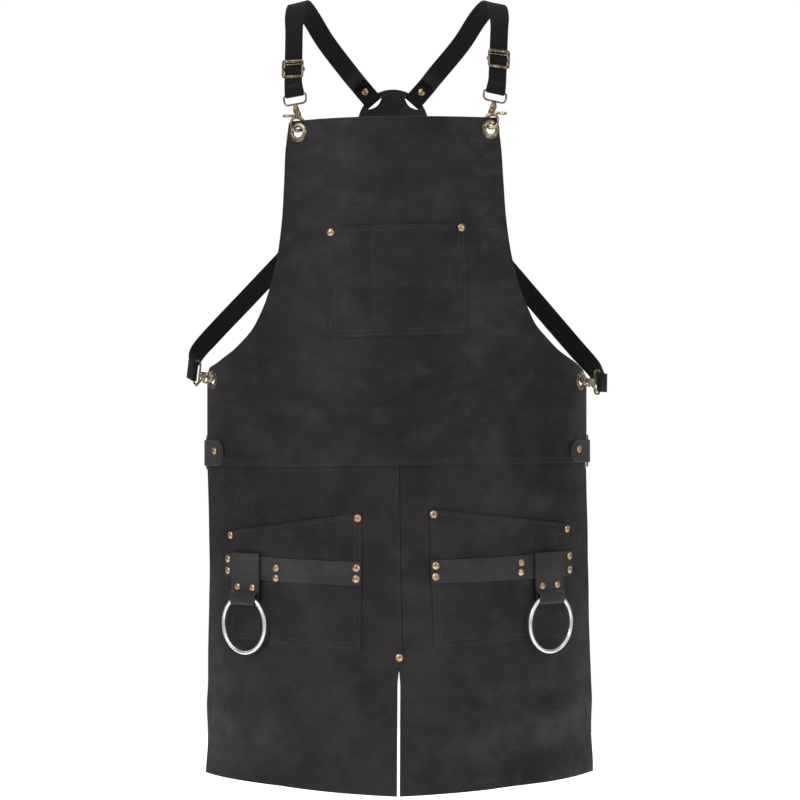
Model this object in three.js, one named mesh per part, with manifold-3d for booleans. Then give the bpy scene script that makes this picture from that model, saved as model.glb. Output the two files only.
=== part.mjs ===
// Split-leg leather work apron with cross-back webbing, in millimetres, +Z up.
// The wearer faces -Y. The origin is the middle point between the two places
// where the shoulder straps rest on whatever carries the apron.
//
// The front is a developable cylinder of radius WRAP_R, so that every leather
// piece can be drawn flat: s runs round the body (0 at the middle of the
// front), z runs up, and w is the height above the outer face of the leather.

import * as THREE from 'three';
import { mergeVertices } from 'three/addons/utils/BufferGeometryUtils.js';
import Module from 'manifold-3d';

const wasm = await Module();
wasm.setup();

// ---------------------------------------------------------------- dimensions
const WRAP_R = 300;          // radius that the front is wrapped to
const LEATHER = 2.0;         // main panels
const THIN = 1.6;            // pockets, bands and tabs
const GAP = 0.35;            // clearance between neighbouring pieces
const WEB_W = 25.4;            // webbing width
const WEB_T = 1.6;           // webbing thickness
const SEAM_Z = -81;          // waist seam
const SLIT_TOP_Z = -333;     // top of the slit between the legs
const HEM_Z = -500;
const RIVET_R = 4.7;         // rivet caps
const RIVET_H = 2.2;
const EYE_HOLE_R = 6.3;      // eyelets
const EYE_OUT_R = 12.2;
const CLAW_IN = 6.8;         // snap hook claw
const CLAW_OUT = 9.8;
const CLAW_T = 3.0;
const EYE_TO_CLAW = 10.9;    // eyelet centre to claw centre
const BAIL_BAR_Q = 38.3;     // claw centre to the bar that the webbing turns on
const RING_R = 37;           // tool ring, to the middle of its wire
const RING_WIRE = 2.4;
const DISC_R = 49;           // back patch
const DISC_T = 2.6;
const SHOULDER = [0, 88, 517.5];   // where the straps rest, before the shift

const root = new THREE.Group();
const all = new THREE.Group();
all.position.set(-SHOULDER[0], -SHOULDER[1], -SHOULDER[2]);
root.add(all);

const M = {
  leather: { color: 0x2c2829, roughness: 0.62, metalness: 0.0 },
  webbing: { color: 0x1c1b1b, roughness: 0.85, metalness: 0.0 },
  antique: { color: 0x8c7656, roughness: 0.38, metalness: 1.0 },
  rivet: { color: 0xb08a5e, roughness: 0.32, metalness: 1.0 },
  steel: { color: 0xc9c9c9, roughness: 0.22, metalness: 1.0 },
};

// -------------------------------------------------------------------- helpers
const V = (x, y, z) => new THREE.Vector3(x, y, z);

/** Point at arc length s, height w above the outer face, and z. */
function onWrap(s, w, z) {
  const t = s / WRAP_R;
  return V((WRAP_R + w) * Math.sin(t), WRAP_R - (WRAP_R + w) * Math.cos(t), z);
}

/** Tangent, inward normal and up at arc length s. */
function wrapFrame(s) {
  const t = s / WRAP_R;
  return {
    t: V(Math.cos(t), Math.sin(t), 0),
    inward: V(-Math.sin(t), Math.cos(t), 0),
    up: V(0, 0, 1),
  };
}

function geometry(points, faces) {
  const g = new THREE.BufferGeometry();
  g.setAttribute('position', new THREE.Float32BufferAttribute(points.flatMap((p) => [p.x, p.y, p.z]), 3));
  g.setIndex(faces.flat());
  return g;
}

function add(name, g, kind) {
  const plain = mergeVertices(new THREE.BufferGeometry().copy(g).deleteAttribute('normal').deleteAttribute('uv'), 1e-4);
  plain.computeVertexNormals();
  const mesh = new THREE.Mesh(plain, new THREE.MeshStandardMaterial(M[kind]));
  mesh.name = name;
  all.add(mesh);
  return mesh;
}

function solid(g) {
  const m = mergeVertices(new THREE.BufferGeometry().copy(g).deleteAttribute('normal').deleteAttribute('uv'), 1e-4);
  return new wasm.Manifold(new wasm.Mesh({
    numProp: 3,
    vertProperties: new Float32Array(m.attributes.position.array),
    triVerts: new Uint32Array(m.index.array),
  }));
}

function fromSolid(man) {
  const m = man.getMesh();
  const g = new THREE.BufferGeometry();
  g.setAttribute('position', new THREE.BufferAttribute(new Float32Array(m.vertProperties), 3));
  g.setIndex(new THREE.BufferAttribute(new Uint32Array(m.triVerts), 1));
  return g;
}

/** A leather sheet from a grid of [s, z] points, grid[column][row], between heights w0 and w1. */
function sheet(grid, w0, w1) {
  const nc = grid.length, nr = grid[0].length;
  const pts = [], faces = [];
  const id = (c, r, side) => (c * nr + r) * 2 + side;
  for (let c = 0; c < nc; c++)
    for (let r = 0; r < nr; r++) {
      const [s, z] = grid[c][r];
      pts.push(onWrap(s, w1, z), onWrap(s, w0, z));
    }
  const quad = (a, b, c, d) => faces.push([a, b, c], [a, c, d]);
  for (let c = 0; c + 1 < nc; c++)
    for (let r = 0; r + 1 < nr; r++) {
      quad(id(c, r, 0), id(c + 1, r, 0), id(c + 1, r + 1, 0), id(c, r + 1, 0));
      quad(id(c, r, 1), id(c, r + 1, 1), id(c + 1, r + 1, 1), id(c + 1, r, 1));
    }
  for (let c = 0; c + 1 < nc; c++) {
    quad(id(c, 0, 0), id(c, 0, 1), id(c + 1, 0, 1), id(c + 1, 0, 0));
    quad(id(c, nr - 1, 0), id(c + 1, nr - 1, 0), id(c + 1, nr - 1, 1), id(c, nr - 1, 1));
  }
  for (let r = 0; r + 1 < nr; r++) {
    quad(id(0, r, 0), id(0, r + 1, 0), id(0, r + 1, 1), id(0, r, 1));
    quad(id(nc - 1, r, 0), id(nc - 1, r, 1), id(nc - 1, r + 1, 1), id(nc - 1, r + 1, 0));
  }
  return geometry(pts, faces);
}

/** A four-cornered sheet: corners are [s, z] at bottom left, bottom right, top right, top left. */
function patch(bl, br, tr, tl, w0, w1, columns = 10) {
  const grid = [];
  for (let c = 0; c <= columns; c++) {
    const k = c / columns;
    const mix = (a, b) => [a[0] + (b[0] - a[0]) * k, a[1] + (b[1] - a[1]) * k];
    grid.push([mix(bl, br), mix(tl, tr)]);
  }
  return sheet(grid, w0, w1);
}

/** A flat strap: a rectangle of width 2*half and the given thickness, swept along stations {c, u}. */
function ribbon(stations, half, thickness) {
  const n = stations.length, pts = [], faces = [];
  for (let i = 0; i < n; i++) {
    const a = stations[Math.max(0, i - 1)].c, b = stations[Math.min(n - 1, i + 1)].c;
    const tangent = b.clone().sub(a).normalize();
    const u = stations[i].u.clone();
    u.addScaledVector(tangent, -u.dot(tangent)).normalize();
    const nrm = tangent.clone().cross(u).normalize();
    const h = stations[i].half ?? half;
    for (const [p, q] of [[-1, -1], [1, -1], [1, 1], [-1, 1]])
      pts.push(stations[i].c.clone().addScaledVector(u, p * h).addScaledVector(nrm, (q * thickness) / 2));
  }
  for (let i = 0; i + 1 < n; i++)
    for (let k = 0; k < 4; k++) {
      const a = i * 4 + k, b = i * 4 + ((k + 1) % 4);
      faces.push([a, b, b + 4], [a, b + 4, a + 4]);
    }
  faces.push([0, 2, 1], [0, 3, 2]);
  const e = (n - 1) * 4;
  faces.push([e, e + 1, e + 2], [e, e + 2, e + 3]);
  return geometry(pts, faces);
}

/** A round wire along a closed planar loop of points, with the plane's normal. */
function wireLoop(points, normal, radius, sides = 8) {
  const n = points.length, pts = [], faces = [];
  for (let i = 0; i < n; i++) {
    const tangent = points[(i + 1) % n].clone().sub(points[(i + n - 1) % n]).normalize();
    const side = normal.clone().cross(tangent).normalize();
    for (let k = 0; k < sides; k++) {
      const a = (k / sides) * 2 * Math.PI;
      pts.push(points[i].clone().addScaledVector(side, Math.cos(a) * radius).addScaledVector(normal, Math.sin(a) * radius));
    }
  }
  for (let i = 0; i < n; i++)
    for (let k = 0; k < sides; k++) {
      const j = (i + 1) % n, l = (k + 1) % sides;
      faces.push([i * sides + k, j * sides + l, j * sides + k], [i * sides + k, i * sides + l, j * sides + l]);
    }
  return geometry(pts, faces);
}

const basis = (x, y, z, o) => new THREE.Matrix4().makeBasis(x, y, z).setPosition(o);

/** Rivet cap: a low dome whose foot is at point o, and whose axis is n. */
function rivet(name, o, n) {
  const r = RIVET_R, h = RIVET_H;
  const g = new THREE.LatheGeometry([
    new THREE.Vector2(0, 0), new THREE.Vector2(r, 0), new THREE.Vector2(r, 0.5),
    new THREE.Vector2(r * 0.72, h * 0.82), new THREE.Vector2(0, h),
  ], 9);
  g.applyQuaternion(new THREE.Quaternion().setFromUnitVectors(V(0, 1, 0), n));
  g.translate(o.x, o.y, o.z);
  add(name, g, 'rivet');
}

function rivetOnWrap(name, s, z, w) {
  const o = onWrap(s, w + GAP, z);
  rivet(name, o, wrapFrame(s).inward.negate());
}

// --------------------------------------------------- upper panel and two legs
// Upper edge of the upper panel, left to right: armhole, top edge, armhole.
const BIB_TOP = [
  [-303, 33.4], [-296.8, 42.7], [-278.4, 49.1], [-260, 57], [-242.2, 65.7], [-227, 75], [-213.1, 84.8], [-203, 94], [-195.4, 103.9],
  [-183.6, 123.1], [-173.8, 144.8], [-165.8, 170.4], [-159.6, 199.9], [-155, 238.4], [-152.6, 276.9], [-150.6, 315.4],
  [-148.1, 335], [-144.8, 356.6], [-142, 358.1], [-128, 358.6], [-112, 359.2], [-92, 359.7], [-72, 360.1], [-50, 360.4], [-25, 360.6], [0, 360.8], [25, 361], [50, 361.2], [72, 361.5], [92, 361.8], [112, 362.2],
  [131.5, 362.6], [134.2, 361], [136.5, 342], [140.1, 315], [142.9, 276.4], [145.9, 238], [151.9, 199.6], [158, 174],
  [165.8, 148.5], [177, 126.8], [190.2, 103.8], [199, 93.5], [209.5, 84.7], [222, 75], [236.1, 65.6], [254, 57.5], [271, 50.7], [291.3, 40.5], [301.5, 30],
];
const clampZ = (s) => SEAM_Z + (s < 0 ? -2.2 * Math.min(1, -s / 150) : 2.5 * Math.min(1, s / 120) * (s > 120 ? 1 - 0.8 * (s - 120) / 180 : 1)) + 1.5;
const bibGrid = BIB_TOP.map(([s, z]) => [[s, clampZ(s) + 0.25], [s, z]]);
let bib = solid(sheet(bibGrid, -LEATHER, 0));

// The legs: straight rows from the waist seam down to the hem.
const LEFT_EDGE = [[-84, -302.6], [-113.5, -300.5], [-173.4, -297.5], [-233, -295.6], [-273, -297], [-334, -301.5], [-401, -304.5], [-497.5, -305.5]];
const RIGHT_EDGE = [[-80, 299.7], [-133.6, 302.2], [-213.7, 303.6], [-254, 308], [-322, 313.5], [-402.6, 317], [-497.5, 318]];
const edgeAt = (list, z) => {
  if (z >= list[0][0]) return list[0][1];
  for (let i = 0; i + 1 < list.length; i++)
    if (z <= list[i][0] && z >= list[i + 1][0])
      return list[i][1] + ((list[i + 1][1] - list[i][1]) * (list[i][0] - z)) / (list[i][0] - list[i + 1][0]);
  return list[list.length - 1][1];
};
const hemZ = (s) => -504.3 + 6.6 * Math.min(1, Math.abs(s) / 160);
const centreS = (z, side) => {
  const mid = z > -90 ? -1.5 : z > SLIT_TOP_Z ? -1.5 + (4 * (-90 - z)) / 240 : 2.5 - (0.8 * (SLIT_TOP_Z - z)) / 170;
  const open = z > SLIT_TOP_Z ? 0.2 : 0.2 + 1.5 * Math.min(1, (SLIT_TOP_Z - z) / 25);
  return mid + side * open;
};
const Z_ROWS = [0, -0.25, -0.42, -0.597, -0.66, -0.82, -1];
function leg(side) {
  const grid = [];
  const columns = 17;
  for (let c = 0; c <= columns; c++) {
    const k = side < 0 ? 1 - c / columns : c / columns;   // 0 at the middle, 1 at the outer edge
    const column = [];
    for (let r = Z_ROWS.length - 1; r >= 0; r--) {
      const nominal = -81 + Z_ROWS[r] * 420;
      const inner = centreS(nominal, side), outer = edgeAt(side < 0 ? LEFT_EDGE : RIGHT_EDGE, nominal);
      const s = inner + (outer - inner) * k;
      const top = clampZ(s) - 0.25, bottom = hemZ(s);
      const z = r === 0 ? top : r === Z_ROWS.length - 1 ? bottom : top + (bottom - top) * -Z_ROWS[r];
      column.push([s, z]);
    }
    grid.push(column);
  }
  return sheet(grid, -LEATHER, 0);
}
add('leg_panel_left', leg(-1), 'leather');
add('leg_panel_right', leg(1), 'leather');

// -------------------------------------------------------------------- pockets
const POCKET = [GAP, GAP + THIN];
add('chest_pocket', patch([-86.7, 79.1], [92.1, 84.3], [88, 225.2], [-91.5, 219.6], ...POCKET, 10), 'leather');
add('hip_pocket_left', patch([-247, -312.8], [-46, -319.2], [-44.7, -143.7], [-250, -172.4], ...POCKET, 12), 'leather');
add('hip_pocket_right', patch([47.2, -315.4], [266, -309.6], [257, -163.4], [40.8, -138.6], ...POCKET, 12), 'leather');

// Tool bands riveted across the hip pockets.
const BAND = [POCKET[1] + GAP, POCKET[1] + GAP + THIN];
add('tool_band_left', patch([-252, -231.4], [-45.5, -236.5], [-45.5, -206], [-252, -201.2], ...BAND, 12), 'leather');
add('tool_band_right', patch([43.4, -232.7], [260, -230.9], [260, -197.9], [42.1, -203.4], ...BAND, 12), 'leather');

// ------------------------------------------------ tool ring hangers and rings
function hanger(side, sMid, zTop, ring) {
  const f = wrapFrame(sMid);
  const out = f.inward.clone().negate();
  const tag = side < 0 ? 'left' : 'right';
  const o = onWrap(sMid, BAND[1] + GAP + THIN / 2, 0);      // middle of the back layer
  const at = (h, z) => o.clone().addScaledVector(out, h).setZ(z);
  const back = 0, front = THIN + GAP;
  const zBend = zTop - 49;
  // Upper part: two flat layers that are riveted to the band and each other.
  const half = 24.5;
  const upper = [];
  upper.push({ c: at(back, zBend + 0.3), u: f.t }, { c: at(back, zTop), u: f.t });
  const g1 = ribbon([{ c: at(back + front / 2, zBend + 0.3), u: f.t, half: half - 1.5 }, { c: at(back + front / 2, zTop), u: f.t, half }], half, THIN + front);
  add('ring_hanger_' + tag, g1, 'leather');
  // Lower part: the fold that holds the ring, which swings with it.
  const zBot = ring.z + RING_R;                 // middle of the wire at its highest point
  const r = RING_WIRE + 0.45 + THIN / 2;
  const foldZ = zBot - 7.9;                     // centre of the round fold
  const mid = r + 0.2;
  const st = [];
  st.push({ c: at(front / 2 + 0.9, zBend - 0.9), u: f.t, half: half - 1.6 });
  st.push({ c: at(mid - r, zBend - 3.4), u: f.t, half: half - 1.8 });
  st.push({ c: at(mid - r, foldZ), u: f.t, half: half - 2.6 });
  for (let k = 1; k < 6; k++) {
    const a = (k / 6) * Math.PI;
    st.push({ c: at(mid - r * Math.cos(a), foldZ - r * Math.sin(a)), u: f.t, half: half - 2.8 });
  }
  st.push({ c: at(mid + r, foldZ), u: f.t, half: half - 2.6 });
  st.push({ c: at(mid + r, zBend - 6.5), u: f.t, half: half - 2.2 });
  st.push({ c: at(mid + r - 0.85, zBend - 2.8), u: f.t, half: half - 1.6 });
  add('ring_fold_' + tag, ribbon(st, half, THIN), 'leather');
  const c = at(mid, ring.z);
  const tor = new THREE.TorusGeometry(RING_R, RING_WIRE, 8, 36);
  tor.applyMatrix4(basis(f.t, V(0, 0, 1), out, c));
  add('tool_ring_' + tag, tor, 'steel');
  return { axis: at(front / 2, zBend), ringCentre: c, normal: out, tangent: f.t };
}
const hangL = hanger(-1, -210, -199.5, { z: -291.5 });
const hangR = hanger(1, 211, -198.2, { z: -290 });

// ------------------------------------------------------ side tabs and D-rings
function sideTab(side, sEdge, zLow, zHigh) {
  const tag = side < 0 ? 'left' : 'right';
  const zm = (zLow + zHigh) / 2, half = (zHigh - zLow) / 2;
  const w1 = GAP + THIN / 2, w0 = -LEATHER - GAP - THIN / 2;
  const st = [];
  const p = (s, w) => ({ c: onWrap(side * s, w, zm), u: V(0, 0, side) });
  const r = (w1 - w0) / 2, wm = (w1 + w0) / 2;
  for (const s of [sEdge - 42, sEdge - 36, sEdge - 28, sEdge - 20, sEdge - 12, sEdge - 4, sEdge + 3.6]) st.push(p(s, w1));
  st[0].half = half * 0.62;
  for (let k = 1; k < 6; k++) {
    const a = (k / 6) * Math.PI;
    const q = p(sEdge + 3.6 + r * Math.sin(a) / 1, wm + r * Math.cos(a));
    st.push(q);
  }
  for (const s of [sEdge + 3.6, sEdge - 4, sEdge - 12, sEdge - 20]) st.push(p(s, w0));
  add('side_tab_' + tag, ribbon(st, half, THIN), 'leather');
  // D-ring: its straight bar stands in the tab's fold, and the bow points to the back.
  const bar = onWrap(side * (sEdge + 2.6), wm, zm);
  const H = half + 5.5, wr = 1.15;
  const loop = [];
  const dir = V(0, 1, 0);
  for (const k of [-1, -0.5, 0, 0.5, 1]) loop.push(bar.clone().add(V(0, 0, k * (H - 3))));
  for (const k of [10, 80]) { const a = (k * Math.PI) / 180; loop.push(bar.clone().add(V(0, 3 * (1 - Math.cos(a)), H - 3 + 3 * Math.sin(a)))); }
  for (let k = 1; k <= 7; k++) {
    const a = Math.PI / 2 - (k / 8) * Math.PI;
    loop.push(bar.clone().addScaledVector(dir, 8 + 12 * Math.cos(a)).add(V(0, 0, H * Math.sin(a))));
  }
  for (const k of [80, 10]) { const a = (k * Math.PI) / 180; loop.push(bar.clone().add(V(0, 3 * (1 - Math.cos(a)), -(H - 3) - 3 * Math.sin(a)))); }
  add('side_ring_' + tag, wireLoop(loop, V(1, 0, 0), wr, 6), 'antique');
  return { bar, H };
}
const tabL = sideTab(-1, 302.8, -88, -53.5);
const tabR = sideTab(1, 303.2, -83, -53);

// ------------------------------------------------- snap hooks, bails, eyelets
/** tilt turns the hook's long axis from straight up (0) towards +s, in radians. lever is -1 or 1: the side of the gate.
 *  pull is the tilt of the strap above the bail. */
function hook(tag, sEye, zEye, tilt, lever, open, pull = tilt) {
  const f = wrapFrame(sEye);
  const q = f.up.clone().multiplyScalar(Math.cos(tilt)).addScaledVector(f.t, Math.sin(tilt)).normalize();
  const yb = f.inward.clone();
  const x = yb.clone().cross(q).normalize();
  const qs = f.up.clone().multiplyScalar(Math.cos(pull)).addScaledVector(f.t, Math.sin(pull)).normalize();
  const xs = yb.clone().cross(qs).normalize();
  const eye = onWrap(sEye, -LEATHER / 2, zEye);
  const o = eye.clone().addScaledVector(q, EYE_TO_CLAW);

  // Eyelet: two dished flanges on a barrel, closed as one profile.
  const hw = LEATHER / 2;
  const prof = [
    [EYE_HOLE_R, -hw - 0.3], [EYE_HOLE_R + 1.2, -hw - 0.8], [EYE_OUT_R, -hw - GAP], [EYE_HOLE_R + 0.7, -hw - GAP],
    [EYE_HOLE_R + 0.7, hw + GAP], [EYE_OUT_R, hw + GAP], [EYE_HOLE_R + 1.2, hw + 0.8], [EYE_HOLE_R, hw + 0.3], [EYE_HOLE_R, -hw - 0.3],
  ].map(([a, b]) => new THREE.Vector2(a, b));
  const lathe = new THREE.LatheGeometry(prof, 18);
  lathe.applyMatrix4(basis(x, yb, x.clone().cross(yb), eye));
  add('eyelet_' + tag, lathe, 'antique');
  const hole = new THREE.CylinderGeometry(EYE_HOLE_R + 1.1, EYE_HOLE_R + 1.1, 12, 18);
  hole.applyMatrix4(basis(x, yb, x.clone().cross(yb), eye));
  bib = bib.subtract(solid(hole));

  // Plane of the claw: turned about the long axis so that the claw threads the eyelet.
  const leverDir = x.clone().multiplyScalar(lever * Math.cos(open)).addScaledVector(yb, -Math.sin(open)).normalize();
  const p = leverDir.clone().negate();
  const z = p.clone().cross(q).normalize();
  const claw = basis(p, q, z, o);
  const arc = (a0, a1, n) => Array.from({ length: n + 1 }, (_, i) => ((a0 + ((a1 - a0) * i) / n) * Math.PI) / 180);
  const sector = (a0, a1, n) => {
    const s = new THREE.Shape();
    arc(a0, a1, n).forEach((a, i) => (i ? s.lineTo(CLAW_OUT * Math.cos(a), CLAW_OUT * Math.sin(a)) : s.moveTo(CLAW_OUT * Math.cos(a), CLAW_OUT * Math.sin(a))));
    arc(a1, a0, n).forEach((a) => s.lineTo(CLAW_IN * Math.cos(a), CLAW_IN * Math.sin(a)));
    s.closePath();
    return new THREE.ExtrudeGeometry(s, { depth: CLAW_T, bevelEnabled: false }).translate(0, 0, -CLAW_T / 2);
  };
  const plate = (list, t) => {
    const s = new THREE.Shape(list.map(([a, b]) => new THREE.Vector2(a, b)));
    return new THREE.ExtrudeGeometry(s, { depth: t, bevelEnabled: false }).translate(0, 0, -t / 2);
  };
  const barrel = new THREE.CylinderGeometry(3.2, 3.2, 6.8, 12).translate(0, 20.3, 0);
  const bore = new THREE.CylinderGeometry(1.9, 1.9, 6, 10).translate(0, 21.7, 0);
  const body = solid(sector(192, 455, 16))
    .add(solid(plate([[-0.9, 7.2], [3.4, 7.6], [4.8, 11.4], [3.2, 17.6], [-3.2, 17.6], [-1.5, 14.0]], 3.6)))
    .add(solid(barrel))
    .subtract(solid(bore));
  add('snap_hook_' + tag, fromSolid(body).applyMatrix4(claw), 'antique');

  const stub = new THREE.CylinderGeometry(1.3, 1.5, 12.5, 8).rotateZ(Math.PI / 2).translate(-11.2, 10.8, 0);
  const gate = solid(sector(112, 181, 5))
    .add(solid(plate([[-3.0, 8.0], [-3.0, 12.4], [-6.8, 12.8], [-7.6, 9.6], [-7.2, 5.6], [-5.0, 4.9]], 3.0)))
    .add(solid(stub));
  add('hook_gate_' + tag, fromSolid(gate).applyMatrix4(claw), 'antique');

  // Bail: an oval wire eye with the swivel stem, in the plane of the leather.
  const bailM = basis(x, yb, x.clone().cross(yb), o);
  const loop = [];
  const hx = 15.9, hz = 6.3, rTop = 2.8, rLow = 5.8, cz = 32;
  for (const [cx, cy, a0, rc] of [[hx - rTop, hz - rTop, 0, rTop], [-(hx - rTop), hz - rTop, 90, rTop], [-(hx - rLow), -(hz - rLow), 180, rLow], [hx - rLow, -(hz - rLow), 270, rLow]])
    for (let k = 0; k <= 3; k++) {
      const a = ((a0 + k * 30) * Math.PI) / 180;
      loop.push(V(0, 0, 0).addScaledVector(x, cx + rc * Math.cos(a)).addScaledVector(q, cz + cy + rc * Math.sin(a)).add(o));
    }
  const wire = wireLoop(loop, yb, 1.2, 8);
  const stem = new THREE.CylinderGeometry(1.4, 1.4, 7.4, 10).translate(0, 22.6, 0).applyMatrix4(basis(x, q, x.clone().cross(q), o));
  add('bail_' + tag, fromSolid(solid(wire).add(solid(stem))), 'antique');
  return { o, q, x, yb, p, z, qs, xs, claw, bar: o.clone().addScaledVector(q, BAIL_BAR_Q), pivot: o.clone().addScaledVector(p, -4.2).addScaledVector(q, 10.8) };
}
const D2R = Math.PI / 180;
const hTL = hook('top_left', -131.5, 343.5, -6 * D2R, -1, 45 * D2R, 1 * D2R);
const hTR = hook('top_right', 124, 347, 8 * D2R, 1, 45 * D2R, 2.5 * D2R);
const hHL = hook('hip_left', -288.3, 27, -77 * D2R, -1, 45 * D2R);
const hHR = hook('hip_right', 286.6, 25.5, 92 * D2R, 1, 45 * D2R);
add('bib_panel', fromSolid(bib), 'leather');

// ---------------------------------------------------------------- back patch
const DISC = V(-5.9, 238, 380);
const slots = [];
let disc = solid(new THREE.CylinderGeometry(DISC_R, DISC_R, DISC_T, 40).translate(DISC.x, DISC.y, DISC.z));
function slotAt(ux, uz) {
  const r = V(ux, 0, uz).normalize();            // outwards, in the plane of the patch
  const along = V(-r.z, 0, r.x);
  const c = DISC.clone().addScaledVector(r, 38.6);
  const box = new THREE.BoxGeometry(29.5, 7.2, 20).applyMatrix4(basis(along, r, along.clone().cross(r), c));
  disc = disc.subtract(solid(box));
  slots.push({ r, along, edge: DISC.clone().addScaledVector(r, 42.2) });
  return slots[slots.length - 1];
}

/** Turns a strap round a bar or a rim: returns stations from the tail, round the turn, to the front layer. */
function turn(c, radial, u, normal, radius, tail, steps = 6) {
  const st = [];
  for (const t of tail) st.push({ c: c.clone().addScaledVector(normal, radius).addScaledVector(radial, t), u });
  for (let k = 0; k <= steps; k++) {
    const a = (k / steps) * Math.PI;
    st.push({ c: c.clone().addScaledVector(normal, radius * Math.cos(a)).addScaledVector(radial, -radius * Math.sin(a)), u });
  }
  return st;
}

/** Smooth path through points, with width directions mixed along it. */
function smooth(points, us, n) {
  const curve = new THREE.CatmullRomCurve3(points, false, 'centripetal');
  const cumulative = [0];
  for (let i = 1; i < points.length; i++) cumulative.push(cumulative[i - 1] + Math.sqrt(points[i].distanceTo(points[i - 1])));
  const total = cumulative[cumulative.length - 1];
  const st = [];
  for (let k = 0; k <= n; k++) {
    const t = k / n;
    const c = curve.getPoint(t);
    const g = t * (points.length - 1);
    const i = Math.min(points.length - 2, Math.floor(g)), f = g - i;
    const u = us[i].clone().lerp(us[i + 1], f * f * (3 - 2 * f)).normalize();
    st.push({ c, u });
  }
  return st;
}

function strap(name, h, slot, middle, us, straight, n) {
  // Round the bail first, then along to the patch, through its slot and back.
  const rBar = 1.2 + 0.45 + WEB_T / 2;
  const rRim = DISC_T / 2 + 0.45 + WEB_T / 2;
  const side = Math.sign(h.x.dot(us[0]));
  const ux = h.x.clone().multiplyScalar(side), uxs = h.xs.clone().multiplyScalar(side);
  const st = turn(h.bar, h.q, ux, h.yb, rBar, [17, 8]);
  const front = h.bar.clone().addScaledVector(h.yb, -rBar);
  const knee = front.clone().addScaledVector(h.q, Math.min(8, straight * 0.5));
  const last = knee.clone().addScaledVector(h.qs, straight - Math.min(8, straight * 0.5));
  const rimFront = slot.edge.clone().add(V(0, -rRim, 0));
  const entry = rimFront.clone().addScaledVector(slot.r, 29);
  st.push({ c: knee, u: ux.clone().add(uxs).normalize() });
  if (straight > 40) st.push({ c: knee.clone().lerp(last, 0.5), u: uxs });
  const body = smooth([last, ...middle, entry], [uxs, ...us, slot.u], n);
  st.push(...body);
  st.push({ c: rimFront.clone().addScaledVector(slot.r, 12), u: slot.u }, { c: rimFront, u: slot.u });
  for (let k = 1; k <= 6; k++) {
    const a = (k / 6) * Math.PI;
    st.push({ c: slot.edge.clone().add(V(0, -rRim * Math.cos(a), 0)).addScaledVector(slot.r, -rRim * Math.sin(a)), u: slot.u });
  }
  st.push({ c: slot.edge.clone().add(V(0, rRim, 0)).addScaledVector(slot.r, 12), u: slot.u }, { c: slot.edge.clone().add(V(0, rRim, 0)).addScaledVector(slot.r, 29), u: slot.u });
  add(name, ribbon(st, WEB_W / 2, WEB_T), 'webbing');
  return { front, knee, last, rimFront, rRim, st };
}

const sTL = slotAt(-0.65, 0.76), sTR = slotAt(0.66, 0.75), sHL = slotAt(-0.66, -0.75), sHR = slotAt(0.66, -0.75);
// Width directions run the same way from the bail to the patch.
sTL.u = sTL.along.clone().negate().multiplyScalar(Math.sign(sTL.along.clone().negate().dot(V(1, 0, 0))));
sTR.u = sTR.along.clone().multiplyScalar(Math.sign(sTR.along.dot(V(1, 0, 0))));
const strapTL = strap('shoulder_strap_left', hTL, sTL,
  [V(-131.8, 35, 494), V(-130.5, 55, 511), V(-126.5, 88, 519.3), V(-114.5, 120, 507), V(-96.5, 147, 480.5), V(-67, 188, 446.5)],
  [V(0.97, -0.12, 0.06), V(0.97, -0.12, 0.14), V(0.96, 0, 0.28), V(0.86, 0, 0.5), V(0.8, 0, 0.6), V(0.8, 0, 0.6)], 82, 28);
const strapTR = strap('shoulder_strap_right', hTR, sTR,
  [V(131.5, 36, 495), V(130, 56, 511), V(123, 90, 519.3), V(107.5, 120, 506.5), V(86.5, 147, 477.5), V(54, 190, 443.5)],
  [V(0.97, 0.12, -0.06), V(0.97, 0.12, -0.12), V(0.96, 0, -0.26), V(0.86, 0, -0.5), V(0.78, 0, -0.62), V(0.78, 0, -0.62)], 82, 28);

// Lower straps run from the hips round the back to the patch.
sHL.u = sHL.along.clone().multiplyScalar(Math.sign(sHL.along.z || 1));
sHR.u = sHR.along.clone().multiplyScalar(Math.sign(sHR.along.z || 1));
const strapHL = strap('hip_strap_left', hHL, sHL,
  [V(-278.5, 184, 47), V(-273, 200, 64), V(-252, 220, 91), V(-208, 234, 139), V(-131, 241, 222), V(-70, 241, 290)],
  [V(-0.2, -0.2, 0.96), V(-0.4, -0.25, 0.88), V(-0.6, -0.2, 0.78), V(-0.7, -0.1, 0.72), V(-0.74, 0, 0.68), V(-0.76, 0, 0.66)], 6, 30);
const strapHR = strap('hip_strap_right', hHR, sHR,
  [V(275, 184, 30), V(268, 200, 43), V(247, 220, 69), V(202, 234, 123), V(122, 241, 217), V(58, 241, 288)],
  [V(0.2, -0.2, 0.96), V(0.4, -0.25, 0.88), V(0.6, -0.2, 0.78), V(0.7, -0.1, 0.72), V(0.74, 0, 0.68), V(0.76, 0, 0.66)], 6, 30);
add('back_patch', fromSolid(disc), 'leather');

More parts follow.
